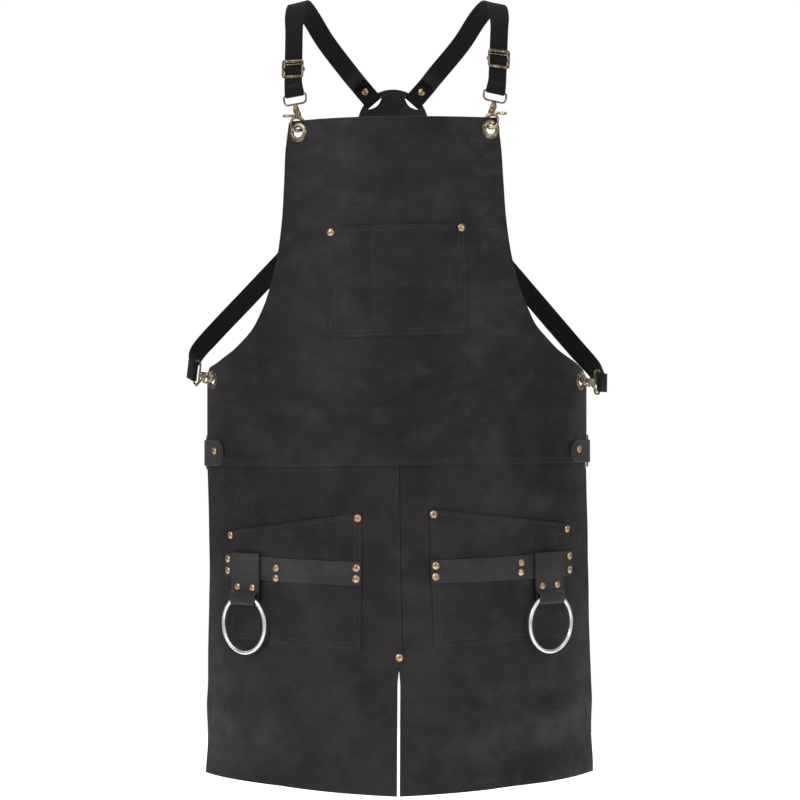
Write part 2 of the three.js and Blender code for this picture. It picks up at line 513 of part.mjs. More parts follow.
// -------------------------------------------------------------------- sliders
function slider(name, h, along, st) {
  const c = st.knee.clone().addScaledVector(h.qs, along - 8);
  const frame = new THREE.Shape([[-15.2, -11.2], [15.2, -11.2], [15.2, 11.2], [-15.2, 11.2]].map(([a, b]) => new THREE.Vector2(a, b)));
  frame.holes.push(new THREE.Path([[-13.5, -8.4], [13.5, -8.4], [13.5, 8.4], [-13.5, 8.4]].map(([a, b]) => new THREE.Vector2(a, b))));
  // local axes: x across, y along the strap, z out of the front
  const g = solid(new THREE.ExtrudeGeometry(frame, { depth: 2.0, bevelEnabled: false }).translate(0, 0, 1.3))
    .add(solid(new THREE.BoxGeometry(1.8, 8, 7).translate(-14.4, 0, -0.3)))
    .add(solid(new THREE.BoxGeometry(1.8, 8, 7).translate(14.4, 0, -0.3)))
    .add(solid(new THREE.BoxGeometry(30.6, 2.8, 2.0).translate(0, 0, -2.5)));
  add(name, fromSolid(g).applyMatrix4(basis(h.xs, h.qs, h.xs.clone().cross(h.qs), c)), 'antique');
  return c;
}
const slL = slider('strap_slider_left', hTL, 32.5, strapTL);
const slR = slider('strap_slider_right', hTR, 42, strapTR);

// --------------------------------------------------------------------- rivets
rivetOnWrap('rivet_chest_left', -86.3, 214.2, POCKET[1]);
rivetOnWrap('rivet_chest_right', 82.7, 219.8, POCKET[1]);
rivetOnWrap('rivet_pocket_left_inner', -50.4, -150.4, POCKET[1]);
rivetOnWrap('rivet_pocket_left_outer', -243.5, -177.5, POCKET[1]);
rivetOnWrap('rivet_pocket_right_inner', 46.4, -145.3, POCKET[1]);
rivetOnWrap('rivet_pocket_right_outer', 250.3, -169.5, POCKET[1]);
rivetOnWrap('rivet_band_left_inner', -51.6, -213.6, BAND[1]);
rivetOnWrap('rivet_band_left_middle', -162.2, -216.5, BAND[1]);
rivetOnWrap('rivet_band_right_inner', 48.9, -210.4, BAND[1]);
rivetOnWrap('rivet_band_right_middle', 167.2, -209.7, BAND[1]);
rivetOnWrap('rivet_slit_top', 2.8, -327.2, 0);
for (const [tag, f, sMid, z, d] of [['left', hangL, -210, -243.4, -1], ['right', hangR, 211, -241, 1]])
  for (const [k, e] of [['inner', 1], ['outer', -1]]) {
    const c = f.axis.clone().addScaledVector(f.tangent, -d * e * 13.2).addScaledVector(f.normal, (THIN * 2 + GAP) / 2 + GAP).setZ(z);
    rivet(`rivet_hanger_${tag}_${k}`, c, f.normal);
  }
rivetOnWrap('rivet_tab_left', -279.4, -67.8, GAP + THIN);
rivetOnWrap('rivet_tab_right', 277.4, -65, GAP + THIN);
for (const [name, s, st] of [['rivet_patch_left', sTL, strapTL], ['rivet_patch_right', sTR, strapTR]]) {
  const c = st.rimFront.clone().addScaledVector(s.r, 17.5).add(V(0, -WEB_T / 2 - GAP - 0.4, 0));
  rivet(name, c, V(0, -1, 0));
}

export const facts = { hTL, hTR, hHL, hHR, hangL, hangR, tabL, tabR, slL, slR, sTL, sTR, sHL, sHR, DISC, SHOULDER, strapTL, strapTR, strapHL, strapHR };
export default root;
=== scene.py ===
"""Looks for the leather work apron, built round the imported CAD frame. Lengths in the helpers are millimetres in the
part's own drawing position, and wrap() turns them into the row frame in metres."""

import bpy
import math
import numpy as np
from mathutils import Matrix, Vector, noise


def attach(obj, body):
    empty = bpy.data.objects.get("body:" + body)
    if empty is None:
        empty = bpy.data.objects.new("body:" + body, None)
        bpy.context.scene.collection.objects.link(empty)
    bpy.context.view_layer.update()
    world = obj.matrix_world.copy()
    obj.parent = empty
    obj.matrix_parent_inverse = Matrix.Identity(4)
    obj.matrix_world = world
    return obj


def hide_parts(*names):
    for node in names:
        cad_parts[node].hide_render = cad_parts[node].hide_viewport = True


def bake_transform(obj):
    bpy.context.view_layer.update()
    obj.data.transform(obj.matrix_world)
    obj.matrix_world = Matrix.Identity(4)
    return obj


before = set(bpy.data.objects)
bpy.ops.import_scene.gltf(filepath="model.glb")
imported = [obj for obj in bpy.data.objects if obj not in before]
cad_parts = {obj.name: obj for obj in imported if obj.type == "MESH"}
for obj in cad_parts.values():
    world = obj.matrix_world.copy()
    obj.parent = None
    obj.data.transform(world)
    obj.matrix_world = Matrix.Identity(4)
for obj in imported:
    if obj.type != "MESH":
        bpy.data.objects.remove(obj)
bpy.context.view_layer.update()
scene = bpy.context.scene

R = 300.0
SHIFT = (0.0, 88.0, 517.5)
LEATHER, THIN, GAP = 2.0, 1.6, 0.35
POCKET_W = GAP + THIN
BAND_W = POCKET_W + GAP + THIN

# ------------------------------------------------------- places from the CAD
HOOKS = {
    "top_left": dict(o=(-0.127937, -0.058249, -0.16316), q=(-0.094646, 0.044365, 0.994522), x=(0.9005, -0.422106, 0.104528), qs=(0.015803, -0.007407, 0.999848), xs=(0.905322, -0.424366, -0.017452), p=(0.936868, 0.341783, 0.073913), z=(0.336632, -0.938731, 0.073913), bar=(-0.131561, -0.05655, -0.12507)),
    "top_right": dict(o=(0.121487, -0.061211, -0.159706), q=(0.127453, 0.055901, 0.990268), x=(0.906875, 0.397755, -0.139173), qs=(0.039946, 0.01752, 0.999048), xs=(0.914915, 0.401282, -0.043619), p=(-0.925277, 0.366304, 0.09841), z=(0.357238, 0.928815, -0.09841), bar=(0.126368, -0.05907, -0.121779)),
    "hip_left": dict(o=(-0.251192, 0.049469, -0.488048), q=(-0.558022, 0.798754, 0.224951), x=(0.12883, -0.184407, 0.97437), qs=(-0.558022, 0.798754, 0.224951), xs=(0.12883, -0.184407, 0.97437), p=(0.670757, 0.274565, 0.688984), z=(-0.488565, -0.535356, 0.688984), bar=(-0.272564, 0.080061, -0.479432)),
    "hip_right": dict(o=(0.250424, 0.048271, -0.49238), q=(0.576985, 0.816009, -0.034899), x=(-0.020149, -0.028496, -0.999391), qs=(0.576985, 0.816009, -0.034899), xs=(-0.020149, -0.028496, -0.999391), p=(-0.56311, 0.428388, 0.706676), z=(-0.591604, 0.388089, -0.706676), bar=(0.272523, 0.079524, -0.493717)),
}
STRAPS = {
    "shoulder_strap_left": (
        (-132.13, -53.58, -108.16, 0.9005, -0.4221, 0.1045),
        (-131.28, -53.98, -117.11, 0.9005, -0.4221, 0.1045),
        (-130.52, -54.33, -125.07, 0.9005, -0.4221, 0.1045),
        (-130.54, -54.68, -126.29, 0.9005, -0.4221, 0.1045),
        (-130.84, -55.54, -127.18, 0.9005, -0.4221, 0.1045),
        (-131.33, -56.66, -127.51, 0.9005, -0.4221, 0.1045),
        (-131.88, -57.75, -127.18, 0.9005, -0.4221, 0.1045),
        (-132.35, -58.52, -126.29, 0.9005, -0.4221, 0.1045),
        (-132.60, -58.77, -125.07, 0.9005, -0.4221, 0.1045),
        (-133.36, -58.41, -117.11, 0.9046, -0.4240, 0.0436),
        (-132.77, -58.69, -80.12, 0.9053, -0.4244, -0.0175),
        (-132.19, -58.96, -43.13, 0.9053, -0.4244, -0.0175),
        (-132.11, -57.73, -38.12, 0.9247, -0.3806, -0.0054),
        (-132.04, -56.67, -33.04, 0.9601, -0.2787, 0.0218),
        (-131.95, -55.26, -28.10, 0.9839, -0.1718, 0.0491),
        (-131.80, -53.00, -23.50, 0.9906, -0.1225, 0.0613),
        (-131.59, -49.18, -18.65, 0.9897, -0.1224, 0.0740),
        (-131.34, -44.40, -14.09, 0.9873, -0.1221, 0.1018),
        (-130.99, -38.91, -9.98, 0.9841, -0.1217, 0.1294),
        (-130.50, -33.00, -6.50, 0.9824, -0.1215, 0.1418),
        (-129.87, -25.47, -3.12, 0.9811, -0.1026, 0.1640),
        (-129.14, -17.06, -0.36, 0.9753, -0.0606, 0.2122),
        (-128.09, -8.37, 1.41, 0.9656, -0.0188, 0.2592),
        (-126.50, 0.00, 1.80, 0.9600, 0.0000, 0.2800),
        (-124.17, 8.30, 0.49, 0.9488, 0.0000, 0.3159),
        (-121.29, 16.54, -2.28, 0.9191, 0.0000, 0.3939),
        (-118.01, 24.51, -6.09, 0.8829, 0.0000, 0.4695),
        (-114.50, 32.00, -10.50, 0.8645, 0.0000, 0.5026),
        (-110.51, 39.14, -16.12, 0.8552, 0.0000, 0.5184),
        (-106.20, 45.58, -22.79, 0.8336, 0.0000, 0.5524),
        (-101.54, 51.98, -29.94, 0.8108, 0.0000, 0.5854),
        (-96.50, 59.00, -37.00, 0.8000, 0.0000, 0.6000),
        (-89.40, 68.34, -45.84, 0.8000, 0.0000, 0.6000),
        (-81.41, 78.22, -55.20, 0.8000, 0.0000, 0.6000),
        (-73.60, 88.75, -63.95, 0.8000, 0.0000, 0.6000),
        (-67.00, 100.00, -71.00, 0.8000, 0.0000, 0.6000),
        (-62.47, 111.20, -75.36, 0.7940, 0.0000, 0.6080),
        (-58.86, 123.14, -78.32, 0.7804, 0.0000, 0.6253),
        (-55.61, 135.37, -80.71, 0.7664, 0.0000, 0.6423),
        (-52.18, 147.45, -83.39, 0.7600, 0.0000, 0.6500),
        (-41.13, 147.45, -96.31, 0.7600, 0.0000, 0.6500),
        (-33.33, 147.45, -105.43, 0.7600, 0.0000, 0.6500),
        (-32.50, 147.79, -106.40, 0.7600, 0.0000, 0.6500),
        (-31.89, 148.72, -107.11, 0.7600, 0.0000, 0.6500),
        (-31.67, 150.00, -107.37, 0.7600, 0.0000, 0.6500),
        (-31.89, 151.28, -107.11, 0.7600, 0.0000, 0.6500),
        (-32.50, 152.21, -106.40, 0.7600, 0.0000, 0.6500),
        (-33.33, 152.55, -105.43, 0.7600, 0.0000, 0.6500),
        (-41.13, 152.55, -96.31, 0.7600, 0.0000, 0.6500),
        (-52.18, 152.55, -83.39, 0.7600, 0.0000, 0.6500),
    ),
    "shoulder_strap_right": (
        (127.55, -55.88, -104.94, 0.9069, 0.3978, -0.1392),
        (126.40, -56.38, -113.86, 0.9069, 0.3978, -0.1392),
        (125.38, -56.83, -121.78, 0.9069, 0.3978, -0.1392),
        (125.36, -57.20, -122.99, 0.9069, 0.3978, -0.1392),
        (125.61, -58.07, -123.88, 0.9069, 0.3978, -0.1392),
        (126.06, -59.21, -124.20, 0.9069, 0.3978, -0.1392),
        (126.59, -60.31, -123.88, 0.9069, 0.3978, -0.1392),
        (127.06, -61.08, -122.99, 0.9069, 0.3978, -0.1392),
        (127.35, -61.31, -121.78, 0.9069, 0.3978, -0.1392),
        (128.37, -60.87, -113.86, 0.9119, 0.4000, -0.0915),
        (129.85, -60.22, -76.89, 0.9149, 0.4013, -0.0436),
        (131.33, -59.57, -39.93, 0.9149, 0.4013, -0.0436),
        (131.40, -57.89, -35.49, 0.9316, 0.3605, -0.0466),
        (131.50, -56.34, -31.00, 0.9625, 0.2662, -0.0529),
        (131.55, -54.52, -26.62, 0.9841, 0.1678, -0.0588),
        (131.50, -52.00, -22.50, 0.9906, 0.1225, -0.0613),
        (131.35, -48.04, -17.99, 0.9899, 0.1225, -0.0708),
        (131.12, -43.26, -13.70, 0.9883, 0.1223, -0.0917),
        (130.70, -37.85, -9.82, 0.9861, 0.1220, -0.1125),
        (130.00, -32.00, -6.50, 0.9850, 0.1219, -0.1219),
        (128.84, -24.20, -3.13, 0.9842, 0.1029, -0.1442),
        (127.38, -15.44, -0.33, 0.9793, 0.0609, -0.1928),
        (125.47, -6.47, 1.47, 0.9705, 0.0189, -0.2403),
        (123.00, 2.00, 1.80, 0.9652, 0.0000, -0.2614),
        (119.80, 9.92, 0.38, 0.9538, 0.0000, -0.3005),
        (115.98, 17.60, -2.49, 0.9228, 0.0000, -0.3853),
        (111.80, 24.98, -6.42, 0.8842, 0.0000, -0.4670),
        (107.50, 32.00, -11.00, 0.8645, 0.0000, -0.5026),
        (102.66, 39.03, -17.17, 0.8529, 0.0000, -0.5221),
        (97.60, 45.41, -24.56, 0.8258, 0.0000, -0.5640),
        (92.24, 51.83, -32.42, 0.7967, 0.0000, -0.6044),
        (86.50, 59.00, -40.00, 0.7828, 0.0000, -0.6222),
        (78.50, 68.69, -49.11, 0.7828, 0.0000, -0.6222),
        (69.57, 79.15, -58.54, 0.7828, 0.0000, -0.6222),
        (60.98, 90.28, -67.20, 0.7828, 0.0000, -0.6222),
        (54.00, 102.00, -74.00, 0.7828, 0.0000, -0.6222),
        (49.77, 112.84, -77.79, 0.7779, 0.0000, -0.6284),
        (46.67, 124.26, -80.16, 0.7670, 0.0000, -0.6417),
        (44.02, 135.91, -81.96, 0.7558, 0.0000, -0.6548),
        (41.14, 147.45, -84.05, 0.7507, 0.0000, -0.6606),
        (29.91, 147.45, -96.81, 0.7507, 0.0000, -0.6606),
        (21.98, 147.45, -105.82, 0.7507, 0.0000, -0.6606),
        (21.14, 147.79, -106.78, 0.7507, 0.0000, -0.6606),
        (20.52, 148.72, -107.48, 0.7507, 0.0000, -0.6606),
        (20.29, 150.00, -107.73, 0.7507, 0.0000, -0.6606),
        (20.52, 151.28, -107.48, 0.7507, 0.0000, -0.6606),
        (21.14, 152.21, -106.78, 0.7507, 0.0000, -0.6606),
        (21.98, 152.55, -105.82, 0.7507, 0.0000, -0.6606),
        (29.91, 152.55, -96.81, 0.7507, 0.0000, -0.6606),
        (41.14, 152.55, -84.05, 0.7507, 0.0000, -0.6606),
    ),
    "hip_strap_left": (
        (-280.04, 95.04, -475.61, 0.1288, -0.1844, 0.9744),
        (-275.02, 87.85, -477.63, 0.1288, -0.1844, 0.9744),
        (-270.56, 81.46, -479.43, 0.1288, -0.1844, 0.9744),
        (-270.14, 80.30, -479.71, 0.1288, -0.1844, 0.9744),
        (-270.38, 79.07, -479.91, 0.1288, -0.1844, 0.9744),
        (-271.20, 78.10, -479.98, 0.1288, -0.1844, 0.9744),
        (-272.38, 77.66, -479.91, 0.1288, -0.1844, 0.9744),
        (-273.62, 77.87, -479.71, 0.1288, -0.1844, 0.9744),
        (-274.57, 78.66, -479.43, 0.1288, -0.1844, 0.9744),
        (-276.25, 81.05, -478.76, 0.1288, -0.1844, 0.9744),
        (-277.92, 83.45, -478.08, 0.1288, -0.1844, 0.9744),
        (-278.14, 86.38, -476.42, 0.0840, -0.1878, 0.9786),
        (-278.44, 89.31, -474.83, -0.0194, -0.1940, 0.9808),
        (-278.64, 92.24, -473.14, -0.1301, -0.1983, 0.9715),
        (-278.59, 95.16, -471.15, -0.1958, -0.1998, 0.9601),
        (-278.10, 98.67, -468.18, -0.2150, -0.2039, 0.9551),
        (-277.26, 102.42, -464.46, -0.2719, -0.2188, 0.9371),
        (-276.01, 106.16, -460.34, -0.3411, -0.2362, 0.9099),
        (-274.26, 109.89, -456.00, -0.3913, -0.2482, 0.8862),
        (-271.59, 114.06, -451.07, -0.4065, -0.2491, 0.8791),
        (-267.58, 119.01, -445.25, -0.4542, -0.2383, 0.8585),
        (-262.72, 123.92, -439.11, -0.5222, -0.2210, 0.8237),
        (-257.17, 128.52, -432.55, -0.5785, -0.2050, 0.7895),
        (-250.83, 132.68, -425.14, -0.5978, -0.1988, 0.7766),
        (-241.96, 136.89, -415.11, -0.6155, -0.1818, 0.7669),
        (-232.00, 140.31, -404.26, -0.6476, -0.1494, 0.7472),
        (-221.16, 143.16, -392.65, -0.6780, -0.1168, 0.7257),
        (-209.68, 145.66, -380.32, -0.6934, -0.0994, 0.7137),
        (-193.87, 148.34, -363.25, -0.6985, -0.0889, 0.7101),
        (-175.67, 150.31, -343.73, -0.7118, -0.0596, 0.6998),
        (-156.78, 151.69, -323.46, -0.7261, -0.0258, 0.6871),
        (-138.41, 152.66, -303.60, -0.7353, -0.0028, 0.6778),
        (-122.16, 153.37, -286.00, -0.7373, 0.0000, 0.6756),
        (-106.26, 153.86, -269.44, -0.7421, 0.0000, 0.6703),
        (-90.97, 154.00, -253.26, -0.7485, 0.0000, 0.6631),
        (-77.62, 153.65, -237.84, -0.7537, 0.0000, 0.6573),
        (-68.31, 152.76, -224.86, -0.7550, 0.0000, 0.6557),
        (-63.49, 151.66, -216.01, -0.7541, 0.0000, 0.6568),
        (-59.80, 150.30, -207.60, -0.7527, 0.0000, 0.6584),
        (-56.52, 148.84, -199.33, -0.7513, 0.0000, 0.6599),
        (-52.94, 147.45, -190.95, -0.7507, 0.0000, 0.6606),
        (-41.71, 147.45, -178.19, -0.7507, 0.0000, 0.6606),
        (-33.78, 147.45, -169.18, -0.7507, 0.0000, 0.6606),
        (-32.94, 147.79, -168.22, -0.7507, 0.0000, 0.6606),
        (-32.32, 148.72, -167.52, -0.7507, 0.0000, 0.6606),
        (-32.09, 150.00, -167.27, -0.7507, 0.0000, 0.6606),
        (-32.32, 151.28, -167.52, -0.7507, 0.0000, 0.6606),
        (-32.94, 152.21, -168.22, -0.7507, 0.0000, 0.6606),
        (-33.78, 152.55, -169.18, -0.7507, 0.0000, 0.6606),
        (-41.71, 152.55, -178.19, -0.7507, 0.0000, 0.6606),
        (-52.94, 152.55, -190.95, -0.7507, 0.0000, 0.6606),
    ),
    "hip_strap_right": (
        (280.33, 94.81, -494.31, 0.0201, 0.0285, 0.9994),
        (275.14, 87.47, -494.00, 0.0201, 0.0285, 0.9994),
        (270.52, 80.94, -493.72, 0.0201, 0.0285, 0.9994),
        (270.08, 79.75, -493.67, 0.0201, 0.0285, 0.9994),
        (270.30, 78.50, -493.64, 0.0201, 0.0285, 0.9994),
        (271.11, 77.52, -493.63, 0.0201, 0.0285, 0.9994),
        (272.30, 77.08, -493.64, 0.0201, 0.0285, 0.9994),
        (273.55, 77.30, -493.67, 0.0201, 0.0285, 0.9994),
        (274.52, 78.11, -493.72, 0.0201, 0.0285, 0.9994),
        (276.25, 80.56, -493.82, 0.0201, 0.0285, 0.9994),
        (277.98, 83.01, -493.93, 0.0201, 0.0285, 0.9994),
        (277.34, 86.03, -492.51, 0.0452, -0.0030, 0.9990),
        (276.74, 89.06, -491.15, 0.1022, -0.0751, 0.9919),
        (276.08, 92.09, -489.71, 0.1622, -0.1517, 0.9750),
        (275.27, 95.13, -488.04, 0.1977, -0.1970, 0.9603),
        (274.13, 98.66, -485.73, 0.2150, -0.2039, 0.9551),
        (272.82, 102.42, -482.97, 0.2719, -0.2188, 0.9371),
        (271.27, 106.19, -479.91, 0.3411, -0.2362, 0.9099),
        (269.33, 109.91, -476.55, 0.3913, -0.2482, 0.8862),
        (266.49, 114.10, -472.35, 0.4065, -0.2491, 0.8791),
        (262.37, 119.09, -467.00, 0.4542, -0.2383, 0.8585),
        (257.53, 123.99, -461.11, 0.5222, -0.2210, 0.8237),
        (252.07, 128.55, -454.61, 0.5785, -0.2050, 0.7895),
        (245.80, 132.71, -447.04, 0.5978, -0.1988, 0.7766),
        (236.72, 137.01, -436.04, 0.6155, -0.1818, 0.7669),
        (226.55, 140.41, -423.80, 0.6476, -0.1494, 0.7472),
        (215.48, 143.20, -410.55, 0.6780, -0.1168, 0.7257),
        (203.72, 145.66, -396.55, 0.6934, -0.0994, 0.7137),
        (187.40, 148.35, -377.15, 0.6985, -0.0889, 0.7101),
        (168.58, 150.33, -354.84, 0.7118, -0.0596, 0.6998),
        (148.98, 151.70, -331.76, 0.7261, -0.0258, 0.6871),
        (129.80, 152.66, -309.45, 0.7353, -0.0028, 0.6778),
        (112.81, 153.37, -290.37, 0.7373, 0.0000, 0.6756),
        (96.12, 153.85, -272.99, 0.7421, 0.0000, 0.6703),
        (79.97, 154.00, -256.24, 0.7485, 0.0000, 0.6631),
        (65.91, 153.65, -240.29, 0.7537, 0.0000, 0.6573),
        (56.28, 152.76, -226.73, 0.7550, 0.0000, 0.6557),
        (51.42, 151.66, -217.42, 0.7541, 0.0000, 0.6568),
        (47.81, 150.30, -208.53, 0.7527, 0.0000, 0.6584),
        (44.64, 148.84, -199.80, 0.7513, 0.0000, 0.6599),
        (41.14, 147.45, -190.95, 0.7507, 0.0000, 0.6606),
        (29.91, 147.45, -178.19, 0.7507, 0.0000, 0.6606),
        (21.98, 147.45, -169.18, 0.7507, 0.0000, 0.6606),
        (21.14, 147.79, -168.22, 0.7507, 0.0000, 0.6606),
        (20.52, 148.72, -167.52, 0.7507, 0.0000, 0.6606),
        (20.29, 150.00, -167.27, 0.7507, 0.0000, 0.6606),
        (20.52, 151.28, -167.52, 0.7507, 0.0000, 0.6606),
        (21.14, 152.21, -168.22, 0.7507, 0.0000, 0.6606),
        (21.98, 152.55, -169.18, 0.7507, 0.0000, 0.6606),
        (29.91, 152.55, -178.19, 0.7507, 0.0000, 0.6606),
        (41.14, 152.55, -190.95, 0.7507, 0.0000, 0.6606),
    ),
}
RIMS = {
    "shoulder_strap_left": dict(r=(-0.649968, 0, 0.759962), along=(-0.759962, 0, -0.649968), edge=(-0.033329, 0.15, -0.10543)),
    "shoulder_strap_right": dict(r=(0.660628, 0, 0.750714), along=(-0.750714, 0, 0.660628), edge=(0.021978, 0.15, -0.10582)),
    "hip_strap_left": dict(r=(-0.660628, 0, -0.750714), along=(0.750714, 0, -0.660628), edge=(-0.033778, 0.15, -0.16918)),
    "hip_strap_right": dict(r=(0.660628, 0, -0.750714), along=(0.750714, 0, 0.660628), edge=(0.021978, 0.15, -0.16918)),
}
HANG = {
    "left": dict(axis=(-0.197147, -0.022061, -0.766), ring=(-0.198999, -0.02426, -0.809), n=(-0.644218, -0.764842, 0), t=(0.764842, -0.644218, 0)),
    "right": dict(axis=(0.197926, -0.021402, -0.7647), ring=(0.199785, -0.023595, -0.8075), n=(0.646764, -0.762691, 0), t=(0.762691, 0.646764, 0)),
}
TABS = {
    "left": dict(bar=(-0.254467, 0.055004, -0.58825), H=22.75),
    "right": dict(bar=(0.254676, 0.055344, -0.5855), H=20.5),
}
SLIDERS = {"left": (-0.132971, -0.058595, -0.092617), "right": (0.12973, -0.060271, -0.079889)}
DISC = (-0.0059, 0.15, -0.1375)


# ------------------------------------------------------------------- helpers
def wrap(s, w, z):
    t = s / R
    return Vector(((R + w) * math.sin(t) / 1000, (R - (R + w) * math.cos(t) - SHIFT[1]) / 1000, (z - SHIFT[2]) / 1000))


def wrap_axes(s):
    """Tangent, outward normal and up at arc length s."""
    t = s / R
    return Vector((math.cos(t), math.sin(t), 0)), Vector((math.sin(t), -math.cos(t), 0)), Vector((0, 0, 1))


def smoothstep(x, a, b):
    t = min(1.0, max(0.0, (x - a) / (b - a)))
    return t * t * (3 - 2 * t)


def gauss(x, w):
    return math.exp(-((x / w) ** 2))


# Points where hardware fixes the leather: (s, z, flat radius, free radius).
PINS = [(-131.5, 343.5, 16, 70), (124, 347, 16, 70), (-288.3, 27, 18, 75), (286.6, 25.5, 18, 75), (-302, -70, 50, 95), (302, -67, 50, 95),
        (-210, -228, 44, 105), (211, -226, 44, 105)]


def hang(s, z):
    """How far the leather stands off its plain wrapped form, in millimetres, for every layer alike."""
    v = 2.6 * noise.noise(Vector((s / 150, z / 210, 3.1))) + 1.3 * noise.noise(Vector((s / 70 + z / 300, z / 95, 9.7)))
    v += 0.55 * noise.noise(Vector((s / 31, z / 44 + s / 90, 21.3)))
    right = smoothstep(s, 20, 110)
    low = smoothstep(-z, 360, 400) * (1 - 0.5 * smoothstep(-z, 490, 512))
    v += 3.2 * right * (1 - 0.75 * smoothstep(s, 210, 290)) * low * math.sin(2 * math.pi * (z + 432 - 0.11 * (s - 200)) / 92)
    v += 1.5 * smoothstep(-s, 40, 150) * smoothstep(-z, 370, 420) * math.sin(2 * math.pi * (z + 455 + 0.1 * s) / 130)
    # Slack under the waist seam, and two soft drag lines from the lower corners of the bib.
    v += 1.1 * gauss(z + 112, 22) * math.sin(s / 34 + 1.0)
    v += 1.2 * gauss((z - 120) - 0.75 * (abs(s) - 120), 26) * smoothstep(abs(s), 60, 150)
    for ps, pz, r0, r1 in PINS:
        v *= smoothstep(math.hypot(s - ps, z - pz), r0, r1)
    return v


def distances(length, start, step, end):
    """Row places from 0 to length: fixed ones near each end and even ones between."""
    a = [x for x in start if x < length * 0.45]
    b = [length - x for x in end if x < length * 0.45][::-1]
    lo, hi = a[-1], b[0]
    n = max(1, round((hi - lo) / step))
    return a + [lo + (hi - lo) * k / n for k in range(1, n)] + b


EDGE = [0, 0.9, 2.2, 3.4, 4.4, 5.4, 7.0]           # rows near a stitched edge: one seam at 4.4
EDGE2 = [0, 0.9, 2.3, 3.3, 4.3, 5.6, 7.4, 8.6, 9.6, 10.6, 12.2]   # two seams, at 3.3 and 8.6
PLAIN = [0, 0.9, 2.4, 4.8]


def new_object(name, verts, faces, mats, face_mats=None, smooth=True):
    mesh = bpy.data.meshes.new(name)
    mesh.from_pydata([tuple(v) for v in verts], [], faces)
    for m in mats:
        mesh.materials.append(m)
    if face_mats is not None:
        mesh.polygons.foreach_set("material_index", face_mats)
    if smooth:
        mesh.polygons.foreach_set("use_smooth", [True] * len(mesh.polygons))
    mesh.update()
    o = bpy.data.objects.new(name, mesh)
    scene.collection.objects.link(o)
    return o


def leather_sheet(name, grid, front, thick, mats):
    """A closed sheet. grid[c][r] = (s, z), front(s, z, c, r) = height of its outer face. The border is rounded through three loops."""
    nc, nr = len(grid), len(grid[0])
    verts, faces, fm = [], [], []
    W = [[front(grid[c][r][0], grid[c][r][1], c, r) for r in range(nr)] for c in range(nc)]
    for side, dw in ((0, 0.0), (1, -thick)):
        for c in range(nc):
            for r in range(nr):
                s, z = grid[c][r]
                verts.append([s, W[c][r] + dw, z])
    fid = lambda c, r: c * nr + r
    bid = lambda c, r: nc * nr + c * nr + r
    for c in range(nc - 1):
        for r in range(nr - 1):
            faces.append((fid(c, r), fid(c + 1, r), fid(c + 1, r + 1), fid(c, r + 1)))
            fm.append(0)
            faces.append((bid(c, r), bid(c, r + 1), bid(c + 1, r + 1), bid(c + 1, r)))
            fm.append(1)
    loop = [(c, 0) for c in range(nc)] + [(nc - 1, r) for r in range(1, nr)] + [(c, nr - 1) for c in range(nc - 2, -1, -1)] + [(0, r) for r in range(nr - 2, 0, -1)]
    n = len(loop)
    pos = [grid[c][r] for c, r in loop]
    prof = [(-0.10, 0.16), (0.0, 0.38), (0.0, 0.62), (-0.10, 0.84)]
    rings = []
    for i, (c, r) in enumerate(loop):
        a, b = pos[i - 1], pos[(i + 1) % n]
        ts, tz = b[0] - a[0], b[1] - a[1]
        ln = math.hypot(ts, tz) or 1.0
        ns, nz = tz / ln, -ts / ln          # outward on a counter-clockwise border
        ids = []
        for inset, depth in prof:
            verts.append([pos[i][0] + ns * inset * thick, W[c][r] - depth * thick, pos[i][1] + nz * inset * thick])
            ids.append(len(verts) - 1)
        for k in (fid(c, r), bid(c, r)):
            verts[k][0] -= ns * 0.28 * thick
            verts[k][2] -= nz * 0.28 * thick
        rings.append([fid(c, r)] + ids + [bid(c, r)])
    for i in range(n):
        a, b = rings[i], rings[(i + 1) % n]
        for k in range(len(a) - 1):
            faces.append((a[k], a[k + 1], b[k + 1], b[k]))
            fm.append(2)
    return new_object(name, [wrap(*v) for v in verts], faces, mats, fm)


def bilinear(bl, br, tr, tl, a, b):
    return tuple((bl[i] * (1 - a) + br[i] * a) * (1 - b) + (tl[i] * (1 - a) + tr[i] * a) * b for i in (0, 1))


def quad_grid(bl, br, tr, tl, left, bottom, right, top, step):
    width = (math.dist(bl, br) + math.dist(tl, tr)) / 2
    height = (math.dist(bl, tl) + math.dist(br, tr)) / 2
    A = distances(width, left, step, right)
    B = distances(height, bottom, step, top)
    return [[bilinear(bl, br, tr, tl, a / width, b / height) for b in B] for a in A], A, B, width, height


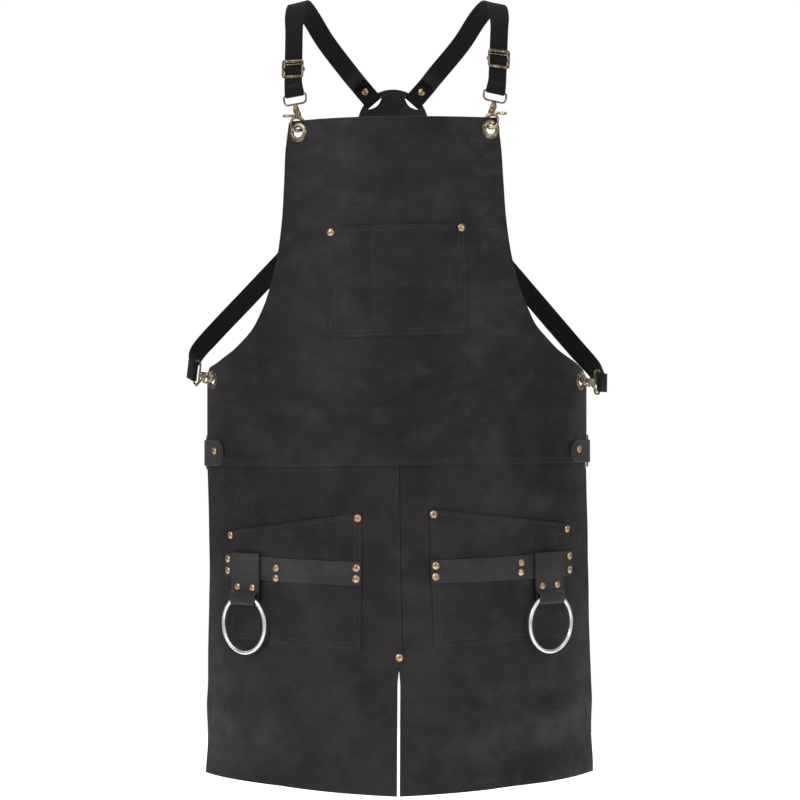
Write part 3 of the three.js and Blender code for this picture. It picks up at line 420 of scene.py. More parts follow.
def ribbon(name, stations, thick, mats, across=7, cap=True, edge_mat=0, ridge=0.0):
    """A flat strip swept along stations (centre, width direction, half width), all in metres, with rounded edges and uv in metres."""
    n = len(stations)
    prof = []
    A = [-1 + 2 * k / (across - 1) for k in range(across)]
    inset = 0.45 * thick
    for a in A:
        prof.append((a, 0.5, -inset * a if abs(a) == 1 else 0.0))
    prof += [(1, 0.30, -0.10 * thick), (1, 0.0, 0.0), (1, -0.30, -0.10 * thick)]
    for a in A[::-1]:
        prof.append((a, -0.5, -inset * a if abs(a) == 1 else 0.0))
    prof += [(-1, -0.30, 0.10 * thick), (-1, 0.0, 0.0), (-1, 0.30, 0.10 * thick)]
    m = len(prof)
    verts, faces, uvs, fm = [], [], [], []
    length = 0.0
    rows = []
    for i, (c, u, h) in enumerate(stations):
        a, b = stations[max(0, i - 1)][0], stations[min(n - 1, i + 1)][0]
        t = (b - a).normalized()
        u = (u - t * u.dot(t)).normalized()
        nrm = t.cross(u).normalized()
        if i:
            length += (c - stations[i - 1][0]).length
        row = []
        for pa, pb, off in prof:
            verts.append(c + u * (pa * h + off) + nrm * (pb * thick))
            row.append(pa * h)
        rows.append((row, length))
    for i in range(n - 1):
        for k in range(m):
            l = (k + 1) % m
            faces.append((i * m + k, (i + 1) * m + k, (i + 1) * m + l, i * m + l))
            fm.append(0 if k < across - 1 else (edge_mat if across - 1 <= k < across + 3 or k >= 2 * across + 2 else (1 if len(mats) > 1 else 0)))
            uvs.append(((rows[i][0][k], rows[i][1]), (rows[i + 1][0][k], rows[i + 1][1]), (rows[i + 1][0][l], rows[i + 1][1]), (rows[i][0][l], rows[i][1])))
    if cap:
        faces.append(tuple(range(m)))
        uvs.append(tuple((rows[0][0][k], rows[0][1]) for k in range(m)))
        fm.append(edge_mat)
        faces.append(tuple((n - 1) * m + k for k in reversed(range(m))))
        uvs.append(tuple((rows[-1][0][k], rows[-1][1]) for k in reversed(range(m))))
        fm.append(edge_mat)
    o = new_object(name, verts, faces, mats, fm)
    layer = o.data.uv_layers.new(name="UVMap")
    flat = [x for f in uvs for uv in f for x in uv]
    layer.data.foreach_set("uv", flat)
    fix_normals(o)
    return o


def fix_normals(o):
    import bmesh
    bm = bmesh.new()
    bm.from_mesh(o.data)
    bmesh.ops.recalc_face_normals(bm, faces=bm.faces)
    bm.to_mesh(o.data)
    bm.free()


def catmull(points, per):
    """Denser points on a Catmull-Rom curve through rows of numbers."""
    P = [np.array(p, float) for p in points]
    out = []
    for i in range(len(P) - 1):
        p0, p1, p2, p3 = P[max(0, i - 1)], P[i], P[i + 1], P[min(len(P) - 1, i + 2)]
        k = per if isinstance(per, int) else max(1, int(round(np.linalg.norm((p2 - p1)[:3]) / per)))
        for j in range(k):
            t = j / k
            out.append(0.5 * (2 * p1 + (p2 - p0) * t + (2 * p0 - 5 * p1 + 4 * p2 - p3) * t * t + (3 * p1 - p0 - 3 * p2 + p3) * t ** 3))
    out.append(P[-1])
    return out


def tube(path, radii, sides=16, closed=False, plane=(0, 0, 1), round_ends=True):
    """Vertices and faces of a round wire along a path in one plane. radii: one number, or (in plane, along the normal) for each point."""
    P = [Vector(p) for p in path]
    rad = [radii] * len(P) if not isinstance(radii, list) else list(radii)
    rad = [(r, r) if not isinstance(r, tuple) else r for r in rad]
    nrm = Vector(plane).normalized()
    tang = []
    for i in range(len(P)):
        a, b = (P[i - 1], P[(i + 1) % len(P)]) if closed else (P[max(0, i - 1)], P[min(len(P) - 1, i + 1)])
        tang.append((b - a).normalized())
    if not closed and round_ends:
        for _ in range(1):
            for end in (0, -1):
                t = tang[end] * (-1 if end == 0 else 1)
                base, r, tg = P[end].copy(), rad[end], tang[end].copy()
                new = [(base + t * (min(r) * math.sin(a)), (r[0] * math.cos(a), r[1] * math.cos(a))) for a in (0.5, 1.0, 1.4)]
                if end == 0:
                    P = [p for p, _ in new[::-1]] + P
                    rad = [q for _, q in new[::-1]] + rad
                    tang = [tg] * 3 + tang
                else:
                    P += [p for p, _ in new]
                    rad += [q for _, q in new]
                    tang += [tg] * 3
    verts, faces = [], []
    for p, (ra, rb), t in zip(P, rad, tang):
        side = nrm.cross(t).normalized()
        for k in range(sides):
            a = 2 * math.pi * k / sides
            verts.append(p + side * (math.cos(a) * ra) + nrm * (math.sin(a) * rb))
    n = len(P)
    for i in range(n if closed else n - 1):
        j = (i + 1) % n
        for k in range(sides):
            l = (k + 1) % sides
            faces.append((i * sides + k, i * sides + l, j * sides + l, j * sides + k))
    if not closed:
        faces.append(tuple(reversed(range(sides))))
        faces.append(tuple((n - 1) * sides + k for k in range(sides)))
    return verts, faces


def lathe(profile, sides=32, closed=True):
    """Turned solid about local z. profile: (radius, height), closed on itself or starting and ending on the axis."""
    verts, faces, ring = [], [], []
    for r, h in profile:
        if r < 1e-9:
            verts.append(Vector((0, 0, h)))
            ring.append([len(verts) - 1] * sides)
        else:
            ids = []
            for k in range(sides):
                a = 2 * math.pi * k / sides
                verts.append(Vector((r * math.cos(a), r * math.sin(a), h)))
                ids.append(len(verts) - 1)
            ring.append(ids)
    pairs = list(zip(ring, ring[1:]))
    if closed:
        pairs.append((ring[-1], ring[0]))
    for a, b in pairs:
        for k in range(sides):
            l = (k + 1) % sides
            f = []
            for v in (a[k], a[l], b[l], b[k]):
                if v not in f:
                    f.append(v)
            if len(f) > 2:
                faces.append(tuple(f))
    return verts, faces


def merge(parts):
    verts, faces = [], []
    for v, f in parts:
        k = len(verts)
        verts += list(v)
        faces += [tuple(i + k for i in g) for g in f]
    return verts, faces


def moved(part, m):
    return [m @ v for v in part[0]], part[1]


def fused(part, voxel, smooth=3):
    """Joins overlapping closed forms into one cast-looking skin; returns its vertices and faces."""
    o = new_object("tmp_fuse", part[0], part[1], [])
    fix_normals(o)
    r = o.modifiers.new("r", "REMESH")
    r.mode = "VOXEL"
    r.voxel_size = voxel
    r.adaptivity = 0
    s = o.modifiers.new("s", "SMOOTH")
    s.factor = 0.5
    s.iterations = smooth
    e = o.evaluated_get(bpy.context.evaluated_depsgraph_get())
    me = e.to_mesh()
    verts = [v.co.copy() for v in me.vertices]
    faces = [tuple(p.vertices) for p in me.polygons]
    e.to_mesh_clear()
    bpy.data.objects.remove(o)
    return verts, faces


def basis(x, y, z, o):
    m = Matrix.Identity(4)
    for i, v in enumerate((x, y, z, o)):
        for j in range(3):
            m[j][i] = v[j]
    return m


def cut(obj, cutters):
    for i, part in enumerate(cutters):
        c = new_object("tmp_cut", part[0], part[1], [])
        fix_normals(c)
        b = obj.modifiers.new("b", "BOOLEAN")
        b.operation = "DIFFERENCE"
        b.solver = "EXACT"
        b.object = c
        dg = bpy.context.evaluated_depsgraph_get()
        me = bpy.data.meshes.new_from_object(obj.evaluated_get(dg))
        obj.modifiers.clear()
        old = obj.data
        obj.data = me
        bpy.data.meshes.remove(old)
        bpy.data.objects.remove(c)
    return obj


def put(obj, body, slot, *nodes):
    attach(obj, body)
    if nodes:
        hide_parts(*nodes)
    return obj


# ----------------------------------------------------------------- materials
def srgb(*c):
    return tuple(((x / 255) / 12.92 if x / 255 <= 0.04045 else ((x / 255 + 0.055) / 1.055) ** 2.4) for x in c) + (1.0,)


def start(name):
    m = bpy.data.materials.new(name)
    m.use_nodes = True
    nt = m.node_tree
    b = nt.nodes["Principled BSDF"]
    return m, nt, b


def N(nt, kind, **kw):
    n = nt.nodes.new(kind)
    for k, v in kw.items():
        if k in ("scale", "detail", "rough", "dist"):
            n.inputs[{"scale": "Scale", "detail": "Detail", "rough": "Roughness", "dist": "Distortion"}[k]].default_value = v
        else:
            setattr(n, k, v)
    return n


def ramp(nt, src, stops):
    r = nt.nodes.new("ShaderNodeValToRGB")
    els = r.color_ramp.elements
    while len(els) > len(stops):
        els.remove(els[-1])
    while len(els) < len(stops):
        els.new(0.5)
    for e, (p, c) in zip(els, stops):
        e.position = p
        e.color = c if isinstance(c, tuple) else (c, c, c, 1)
    nt.links.new(src, r.inputs[0])
    return r.outputs[0]


def mix(nt, fac, a, b, mode="MIX"):
    n = nt.nodes.new("ShaderNodeMix")
    n.data_type = "RGBA"
    n.blend_type = mode
    for sock, v in ((n.inputs[0], fac), (n.inputs[6], a), (n.inputs[7], b)):
        if hasattr(v, "node"):
            nt.links.new(v, sock)
        else:
            sock.default_value = v
    return n.outputs[2]


def math_node(nt, op, a, b=None, clamp=False):
    n = nt.nodes.new("ShaderNodeMath")
    n.operation = op
    n.use_clamp = clamp
    for sock, v in zip(n.inputs, (a, b)):
        if v is None:
            continue
        if hasattr(v, "node"):
            nt.links.new(v, sock)
        else:
            sock.default_value = v
    return n.outputs[0]


def bump(nt, height, strength, distance, normal=None):
    n = nt.nodes.new("ShaderNodeBump")
    n.inputs["Strength"].default_value = strength
    n.inputs["Distance"].default_value = distance
    nt.links.new(height, n.inputs["Height"])
    if normal is not None:
        nt.links.new(normal, n.inputs["Normal"])
    return n.outputs[0]


def coords(nt, scale=(1, 1, 1), kind="Object"):
    t = nt.nodes.new("ShaderNodeTexCoord")
    m = nt.nodes.new("ShaderNodeMapping")
    m.inputs["Scale"].default_value = scale
    nt.links.new(t.outputs[kind], m.inputs["Vector"])
    return m.outputs[0]


def tex(nt, kind, vec, **kw):
    n = N(nt, kind, **kw)
    nt.links.new(vec, n.inputs["Vector"])
    return n


def leather(name, dark, mid, light, worn, rough=(0.42, 0.60), grain=1.0, creases=1.0, warm=None):
    """Waxed grain leather: cloudy colour, pebbled grain with pores, fine creases whose lines are darkened as painted
    shade, and shine that varies with the wear.
    """
    m, nt, b = start(name)
    v = coords(nt)
    cloud = tex(nt, "ShaderNodeTexNoise", v, scale=7.0, detail=5.0, rough=0.6, dist=0.6).outputs[0]
    patch = tex(nt, "ShaderNodeTexNoise", v, scale=38.0, detail=7.0, rough=0.62).outputs[0]
    base = ramp(nt, cloud, [(0.32, dark), (0.50, mid), (0.68, light)])
    base = mix(nt, ramp(nt, patch, [(0.42, 0.0), (0.70, 0.55)]), base, light)
    scuff = tex(nt, "ShaderNodeTexNoise", coords(nt, (1.0, 1.0, 1.5)), scale=21.0, detail=8.0, rough=0.72, dist=0.25).outputs[0]
    base = mix(nt, ramp(nt, scuff, [(0.50, 0.0), (0.72, 0.50)]), base, worn)
    base = mix(nt, ramp(nt, scuff, [(0.30, 0.6), (0.46, 0.0)]), base, dark)
    if warm is not None:
        # A tint by position: faintly warmer and lighter towards the left side, alike across every part that uses it.
        sep = nt.nodes.new("ShaderNodeSeparateXYZ")
        nt.links.new(v, sep.inputs[0])
        f = ramp(nt, math_node(nt, "MULTIPLY_ADD", sep.outputs[0], -1.7), [(0.0, 0.0), (0.6, 0.8)])
        base = mix(nt, f, base, warm, "ADD")
    cells = tex(nt, "ShaderNodeTexVoronoi", v, scale=560.0)
    cells.feature = "DISTANCE_TO_EDGE"
    pebble = ramp(nt, cells.outputs["Distance"], [(0.0, 0.0), (0.28, 1.0)])
    pores = tex(nt, "ShaderNodeTexNoise", v, scale=1500.0, detail=3.0).outputs[0]
    vs = coords(nt, (1.0, 1.0, 2.4))
    wr = tex(nt, "ShaderNodeTexNoise", vs, scale=24.0, detail=9.0, rough=0.66, dist=0.9).outputs[0]
    line = ramp(nt, math_node(nt, "ABSOLUTE", math_node(nt, "SUBTRACT", wr, 0.5)), [(0.0, 0.0), (0.035, 1.0)])
    # Painted shade: the colour is darkened along the crease lines, where shade would lie in them.
    base = mix(nt, math_node(nt, "MULTIPLY", math_node(nt, "SUBTRACT", 1.0, line), 0.22 * creases), base, dark)
    nt.links.new(base, b.inputs["Base Color"])
    n1 = bump(nt, pores, 0.16 * grain, 0.0005)
    n2 = bump(nt, pebble, 0.20 * grain, 0.0006, n1)
    n3 = bump(nt, line, 0.22 * creases, 0.0009, n2)
    n4 = bump(nt, patch, 0.22, 0.0022, n3)
    nt.links.new(n4, b.inputs["Normal"])
    lo, hi = rough
    nt.links.new(ramp(nt, patch, [(0.3, hi), (0.7, lo)]), b.inputs["Roughness"])
    b.inputs["Specular IOR Level"].default_value = 0.22
    return m


M_FRONT = leather("leather_grain", srgb(8, 8, 8), srgb(18, 17, 18), srgb(33, 31, 32), srgb(48, 45, 47), warm=(0.0030, 0.0006, 0.0026, 1))
M_STRAP = leather("leather_belt", srgb(29, 28, 29), srgb(39, 37, 38), srgb(50, 48, 49), srgb(60, 57, 59), rough=(0.44, 0.6), grain=0.6, creases=0.6, warm=(0.0022, 0.0004, 0.0018, 1))


def flesh_material():
    m, nt, b = start("leather_flesh_side")
    v = coords(nt)
    cloud = tex(nt, "ShaderNodeTexNoise", v, scale=16.0, detail=8.0, rough=0.7, dist=0.8).outputs[0]
    nap = tex(nt, "ShaderNodeTexNoise", v, scale=900.0, detail=5.0, rough=0.8).outputs[0]
    c = ramp(nt, cloud, [(0.3, srgb(50, 47, 46)), (0.7, srgb(72, 67, 65))])
    c = mix(nt, ramp(nt, nap, [(0.4, 0.0), (0.75, 0.5)]), c, srgb(92, 86, 82))
    nt.links.new(c, b.inputs["Base Color"])
    b.inputs["Roughness"].default_value = 0.93
    b.inputs["Specular IOR Level"].default_value = 0.2
    b.inputs["Sheen Weight"].default_value = 0.25
    b.inputs["Sheen Roughness"].default_value = 0.6
    nt.links.new(bump(nt, nap, 0.6, 0.0009, bump(nt, cloud, 0.3, 0.002)), b.inputs["Normal"])
    return m


def edge_and_shade_material():
    m, nt, b = start("leather_cut_edge_and_shade")
    v = coords(nt)
    f = tex(nt, "ShaderNodeTexNoise", v, scale=420.0, detail=6.0, rough=0.7).outputs[0]
    # Dark cut-edge colour, made darker still as painted shade: it stands for the shadow line that runs along the edges
    # of the sheets.
    nt.links.new(ramp(nt, f, [(0.3, srgb(12, 11, 11)), (0.7, srgb(34, 32, 32))]), b.inputs["Base Color"])
    b.inputs["Roughness"].default_value = 0.7
    nt.links.new(bump(nt, f, 0.4, 0.0005), b.inputs["Normal"])
    return m


def webbing_material():
    m, nt, b = start("webbing_weave")
    v = coords(nt, (1, 1, 1), "UV")
    sep = nt.nodes.new("ShaderNodeSeparateXYZ")
    nt.links.new(v, sep.inputs[0])
    two = 2 * math.pi
    rib = math_node(nt, "SINE", math_node(nt, "MULTIPLY", sep.outputs[0], two / 0.0016))
    ribc = math_node(nt, "COSINE", math_node(nt, "MULTIPLY", sep.outputs[0], two / 0.0032))
    pick = math_node(nt, "SINE", math_node(nt, "ADD", math_node(nt, "MULTIPLY", sep.outputs[1], two / 0.0015), math_node(nt, "MULTIPLY", math_node(nt, "SIGN", ribc), 1.57)))
    weave = math_node(nt, "MULTIPLY_ADD", math_node(nt, "MULTIPLY", pick, 0.5), 0.5)
    h = math_node(nt, "ADD", math_node(nt, "MULTIPLY", math_node(nt, "ABSOLUTE", rib), 0.6), math_node(nt, "MULTIPLY", weave, 0.5))
    fuzz = tex(nt, "ShaderNodeTexNoise", coords(nt), scale=1400.0, detail=4.0, rough=0.7).outputs[0]
    slow = tex(nt, "ShaderNodeTexNoise", coords(nt), scale=30.0, detail=3.0).outputs[0]
    # Painted shade: the weave's low places (low h, the same height that drives the bump) are darker in the colour.
    c = ramp(nt, h, [(0.05, srgb(6, 6, 6)), (0.9, srgb(21, 20, 20))])
    c = mix(nt, ramp(nt, slow, [(0.3, 0.0), (0.8, 0.35)]), c, srgb(25, 24, 25))
    c = mix(nt, ramp(nt, fuzz, [(0.45, 0.0), (0.8, 0.35)]), c, srgb(34, 33, 34))
    nt.links.new(c, b.inputs["Base Color"])
    b.inputs["Roughness"].default_value = 0.75
    b.inputs["Specular IOR Level"].default_value = 0.12
    b.inputs["Sheen Weight"].default_value = 0.03
    nt.links.new(bump(nt, h, 0.7, 0.0004, bump(nt, fuzz, 0.3, 0.0003)), b.inputs["Normal"])
    return m


def thread_material():
    m, nt, b = start("thread_twist")
    w = tex(nt, "ShaderNodeTexWave", coords(nt), scale=700.0, dist=1.5, detail=2.0)
    w.wave_type = "BANDS"
    w.bands_direction = "DIAGONAL"
    # Painted shade: the grooves between the twist's bands are darker in the colour, from the same bands that drive the
    # bump.
    nt.links.new(ramp(nt, w.outputs[1], [(0.2, srgb(16, 15, 15)), (0.9, srgb(44, 42, 43))]), b.inputs["Base Color"])
    b.inputs["Roughness"].default_value = 0.55
    nt.links.new(bump(nt, w.outputs[1], 0.4, 0.0002), b.inputs["Normal"])
    return m


def metal(name, dark, mid, light, rough=(0.28, 0.5), scale=160.0, fine=1.0):
    """Plated metal with darker tarnish in blotches and finer scuffs."""
    m, nt, b = start(name)
    v = coords(nt)
    blot = tex(nt, "ShaderNodeTexNoise", v, scale=scale, detail=6.0, rough=0.65, dist=0.5).outputs[0]
    scuff = tex(nt, "ShaderNodeTexNoise", coords(nt, (1, 1, 5)), scale=900.0, detail=4.0, rough=0.6).outputs[0]
    c = ramp(nt, blot, [(0.30, dark), (0.50, mid), (0.70, light)])
    nt.links.new(mix(nt, ramp(nt, scuff, [(0.5, 0.0), (0.8, 0.3)]), c, light), b.inputs["Base Color"])
    b.inputs["Metallic"].default_value = 1.0
    nt.links.new(ramp(nt, blot, [(0.3, rough[1]), (0.7, rough[0])]), b.inputs["Roughness"])
    nt.links.new(bump(nt, scuff, 0.12 * fine, 0.0003, bump(nt, blot, 0.15 * fine, 0.0005)), b.inputs["Normal"])
    return m


M_FLESH = flesh_material()
M_EDGE_AND_SHADE = edge_and_shade_material()
M_WEB = webbing_material()
M_THREAD = thread_material()
M_BRASS = metal("antique_brass_plate", srgb(62, 53, 42), srgb(124, 109, 87), srgb(196, 182, 158), (0.25, 0.45))
M_BRONZE = metal("antique_bronze_plate", srgb(48, 42, 35), srgb(96, 85, 70), srgb(152, 140, 122), (0.3, 0.5))
M_RIVET = metal("rivet_copper_brass", srgb(112, 84, 58), srgb(170, 140, 108), srgb(216, 190, 158), (0.32, 0.46), 260.0)
M_STEEL = metal("ring_bright_steel", srgb(196, 196, 198), srgb(214, 214, 216), srgb(230, 230, 232), (0.34, 0.44), 60.0, 0.5)
LEATHERS = [M_FRONT, M_FLESH, M_EDGE_AND_SHADE]
BELT = [M_STRAP, M_FLESH, M_EDGE_AND_SHADE]

# ------------------------------------------------------------ leather panels
BIB_TOP = [
    (-303, 33.4), (-296.8, 42.7), (-278.4, 49.1), (-260, 57), (-242.2, 65.7), (-227, 75), (-213.1, 84.8), (-203, 94), (-195.4, 103.9),
    (-183.6, 123.1), (-173.8, 144.8), (-165.8, 170.4), (-159.6, 199.9), (-155, 238.4), (-152.6, 276.9), (-150.6, 315.4),
    (-148.1, 335), (-144.8, 356.6), (-142, 358.1), (-128, 358.6), (-112, 359.2), (-92, 359.7), (-72, 360.1), (-50, 360.4), (-25, 360.6),
    (0, 360.8), (25, 361), (50, 361.2), (72, 361.5), (92, 361.8), (112, 362.2), (131.5, 362.6), (134.2, 361), (136.5, 342), (140.1, 315),
    (142.9, 276.4), (145.9, 238), (151.9, 199.6), (158, 174), (165.8, 148.5), (177, 126.8), (190.2, 103.8), (199, 93.5), (209.5, 84.7),
    (222, 75), (236.1, 65.6), (254, 57.5), (271, 50.7), (291.3, 40.5), (301.5, 30)]


def seam_z(s):
    k = -2.2 * min(1, -s / 150) if s < 0 else 2.5 * min(1, s / 120) * (1 - 0.8 * (s - 120) / 180 if s > 120 else 1)
    return -81 + k + 1.5


def bib_border(s):
    return seam_z(s) - 4.5


top = []
for i in range(len(BIB_TOP) - 1):
    (s0, z0), (s1, z1) = BIB_TOP[max(0, i - 1)], BIB_TOP[i]
    (s2, z2), (s3, z3) = BIB_TOP[i + 1], BIB_TOP[min(len(BIB_TOP) - 1, i + 2)]
    n = max(1, round(math.dist((s1, z1), (s2, z2)) / 4.5))
    corner = i in (0, 16, 17, 31, 32, len(BIB_TOP) - 2)
    for j in range(n):
        t = j / n
        if corner:
            top.append((s1 + (s2 - s1) * t, z1 + (z2 - z1) * t))
        else:
            f = lambda a, b_, c, d: 0.5 * (2 * b_ + (c - a) * t + (2 * a - 5 * b_ + 4 * c - d) * t * t + (3 * b_ - a - 3 * c + d) * t ** 3)
            top.append((f(s0, s1, s2, s3), f(z0, z1, z2, z3)))
top.append(BIB_TOP[-1])
ROWS_LOW = [0, 0.9, 2.0, 2.8, 3.7, 5.2, 6.0, 6.9, 8.6, 11, 14, 18]
bib_grid = []
NR = len(distances(436.0, ROWS_LOW, 4.6, PLAIN))
for s, zt in top:
    zb = bib_border(s)
    k = distances(436.0, ROWS_LOW, 4.6, PLAIN)
    L = zt - zb
    low = len(ROWS_LOW)
    col = []
    for i, d in enumerate(k):
        if i < low:
            z = zb + d
        elif i >= NR - len(PLAIN):
            z = zt - (436.0 - d)
        else:
            z = zb + 18 + (d - 18) * (L - 18 - PLAIN[-1]) / (436.0 - 18 - PLAIN[-1])
        col.append((s, z))
    bib_grid.append(col)


def seam_row(k):
    """Two stitch rows of the waist seam, measured up from the border of the upper panel."""
    return (2.8, 6.0)[k]


def bib_front(s, z, c=0, r=0):
    d = z - bib_border(s)
    w = hang(s, z) + 1.15 * (1 - smoothstep(d, 9, 20))
    for k in (0, 1):
        w -= 0.42 * gauss(d - seam_row(k), 0.75)
    return w


bib = leather_sheet("bib_leather", bib_grid, bib_front, LEATHER, LEATHERS)
fix_normals(bib)
holes = []
EYES = {"top_left": (-131.5, 343.5), "top_right": (124, 347), "hip_left": (-288.3, 27), "hip_right": (286.6, 25.5)}
for s, z in EYES.values():
    t, out, up = wrap_axes(s)
    holes.append(moved(lathe([(0, -0.012), (0.0072, -0.012), (0.0072, 0.012), (0, 0.012)], 32, closed=False), basis(t, up, out, wrap(s, -1, z))))
cut(bib, holes)
put(bib, "apron", "leather", "bib_panel")

LEFT_EDGE = [(-84, -302.6), (-113.5, -300.5), (-173.4, -297.5), (-233, -295.6), (-273, -297), (-334, -301.5), (-401, -304.5), (-497.5, -305.5)]
RIGHT_EDGE = [(-80, 299.7), (-133.6, 302.2), (-213.7, 303.6), (-254, 308), (-322, 313.5), (-402.6, 317), (-497.5, 318)]
SLIT = -333.0


def edge_at(rows, z):
    if z >= rows[0][0]:
        return rows[0][1]
    for (za, sa), (zb, sb) in zip(rows, rows[1:]):
        if zb <= z <= za:
            return sa + (sb - sa) * smoothstep(z, za, zb) if False else sa + (sb - sa) * (za - z) / (za - zb)
    return rows[-1][1]


def hem_z(s):
    return -504.3 + 6.6 * min(1, abs(s) / 160)


def centre_s(z):
    return -1.5 if z > -90 else (-1.5 + 4 * (-90 - z) / 240 if z > SLIT else 2.5 - 0.8 * (SLIT - z) / 170)


def leg_height(side, s, z):
    """Outer face of a leg: it dips under the upper panel at the waist, and the left leg laps over the right along the middle."""
    d = seam_z(s) - 4.5 - z
    w = hang(s, z) - 1.05 * (1 - smoothstep(d, 0.5, 9))
    closed = 1 - smoothstep(-z, -SLIT - 22, -SLIT + 4)
    u = s - centre_s(z)
    if side < 0:
        w += 1.0 * closed * smoothstep(u, -20, -9)
        for k in (-1.0, 2.6):
            w -= 0.40 * closed * gauss(u - k, 0.75)
    else:
        w -= 1.25 * closed * (1 - smoothstep(u, 4.5, 11))
        w += 0.25 * closed * gauss(u - 10, 6)
    return w


def leg(side, name):
    rows_n = 100
    grid = []
    inner_d = [0, 0.9, 1.8, 2.5, 3.2, 4.4, 5.3, 6.1, 7.0, 9, 12, 16]
    cols = distances(300.0, inner_d, 4.6, PLAIN)
    tz = [0, 0.9, 2.4, 5, 9, 14]
    for i, d in enumerate(cols):
        col = []
        rows = distances(430.0, tz, 4.6, PLAIN)
        for j, e in enumerate(rows):
            zn = -80 - e / 430.0 * 424 + 10
            lap = 1 - smoothstep(-zn, -SLIT - 6, -SLIT + 6)
            opened = 1.7 * smoothstep(-zn, -SLIT, -SLIT + 25)
            inner = centre_s(zn) + (3.8 * lap - opened * (1 - lap) if side < 0 else -7.5 * lap + opened * (1 - lap))
            outer = edge_at(LEFT_EDGE if side < 0 else RIGHT_EDGE, zn)
            L = abs(outer - inner)
            if i < len(inner_d):
                x = d
            elif i >= len(cols) - len(PLAIN):
                x = L - (300.0 - d)
            else:
                x = 16 + (d - 16) * (L - 16 - PLAIN[-1]) / (300.0 - 16 - PLAIN[-1])
            s = inner + side * x
            zt = seam_z(s) + 9.0
            zb = hem_z(s)
            H = zt - zb
            if j < len(tz):
                z = zt - e
            elif j >= len(rows) - len(PLAIN):
                z = zb + (430.0 - e)
            else:
                z = zt - 14 - (e - 14) * (H - 14 - PLAIN[-1]) / (430.0 - 14 - PLAIN[-1])
            col.append((s, z))
        grid.append(col[::-1])
    if side < 0:
        grid = grid[::-1]
    o = leather_sheet(name, grid, lambda s, z, c, r: leg_height(side, s, z), LEATHER, LEATHERS)
    fix_normals(o)
    return o


leg_l = put(leg(-1, "leg_leather_left"), "apron", "leather", "leg_panel_left")
leg_r = put(leg(1, "leg_leather_right"), "apron", "leather", "leg_panel_right")


# --------------------------------------------------------------- stitching
def stitches(name, lines, body="apron", pitch=3.7, length=2.9, width=0.42, height=0.34):
    """Real thread: one rounded grain for each stitch. lines: (list of points, height function or None). Points are (s, z), or 3-D with a normal."""
    verts, faces = [], []
    prof = [(-1.0, 0.28), (-0.72, 0.85), (-0.3, 1.0), (0.3, 1.0), (0.72, 0.85), (1.0, 0.28)]
    for pts, fn in lines:
        P = []
        for p in pts:
            if fn is not None:
                s, z = p
                t, out, up = wrap_axes(s)
                P.append((wrap(s, fn(s, z), z), out))
            else:
                P.append((Vector(p[0]), Vector(p[1])))
        seg = [0.0]
        for a, b in zip(P, P[1:]):
            seg.append(seg[-1] + (b[0] - a[0]).length)
        total = seg[-1]
        count = max(1, int(total / (pitch / 1000)))
        j = 0
        for k in range(count):
            at = (k + 0.5) * total / count
            while j + 2 < len(seg) and seg[j + 1] < at:
                j += 1
            f = (at - seg[j]) / max(1e-9, seg[j + 1] - seg[j])
            c = P[j][0].lerp(P[j + 1][0], f)
            nrm = P[j][1].lerp(P[j + 1][1], f).normalized()
            t = (P[j + 1][0] - P[j][0]).normalized()
            side = nrm.cross(t).normalized()
            tilt = 0.10
            t2 = (t + side * tilt).normalized()
            side = nrm.cross(t2).normalized()
            base = len(verts)
            for x, q in prof:
                dip = -0.16 * (abs(x) ** 2)
                for m in range(6):
                    a = m * math.pi / 3
                    verts.append(c + t2 * (x * length / 2000) + side * (math.cos(a) * q * width / 1000) + nrm * ((math.sin(a) * q * height + 0.06 + dip) / 1000))
            for i in range(len(prof) - 1):
                for m in range(6):
                    l = (m + 1) % 6
                    faces.append((base + i * 6 + m, base + i * 6 + l, base + (i + 1) * 6 + l, base + (i + 1) * 6 + m))
            faces.append(tuple(base + m for m in reversed(range(6))))
            faces.append(tuple(base + (len(prof) - 1) * 6 + m for m in range(6)))
    o = new_object(name, verts, faces, [M_THREAD])
    fix_normals(o)
    return put(o, body, "webbing")


def line(a, b, step=4.0):
    n = max(1, int(math.dist(a, b) / step))
    return [(a[0] + (b[0] - a[0]) * k / n, a[1] + (b[1] - a[1]) * k / n) for k in range(n + 1)]


waist = []
for k in (0, 1):
    waist.append(([(s, bib_border(s) + seam_row(k)) for s in np.arange(-300.5, 299.5, 4.0)], bib_front))
stitches("stitching_waist", waist)
centre = []
for k in (-1.0, 2.6):
    centre.append(([(centre_s(z) + k, z) for z in np.arange(-88, -319, -4.0)], lambda s, z: leg_height(-1, s, z)))
stitches("stitching_centre", centre)


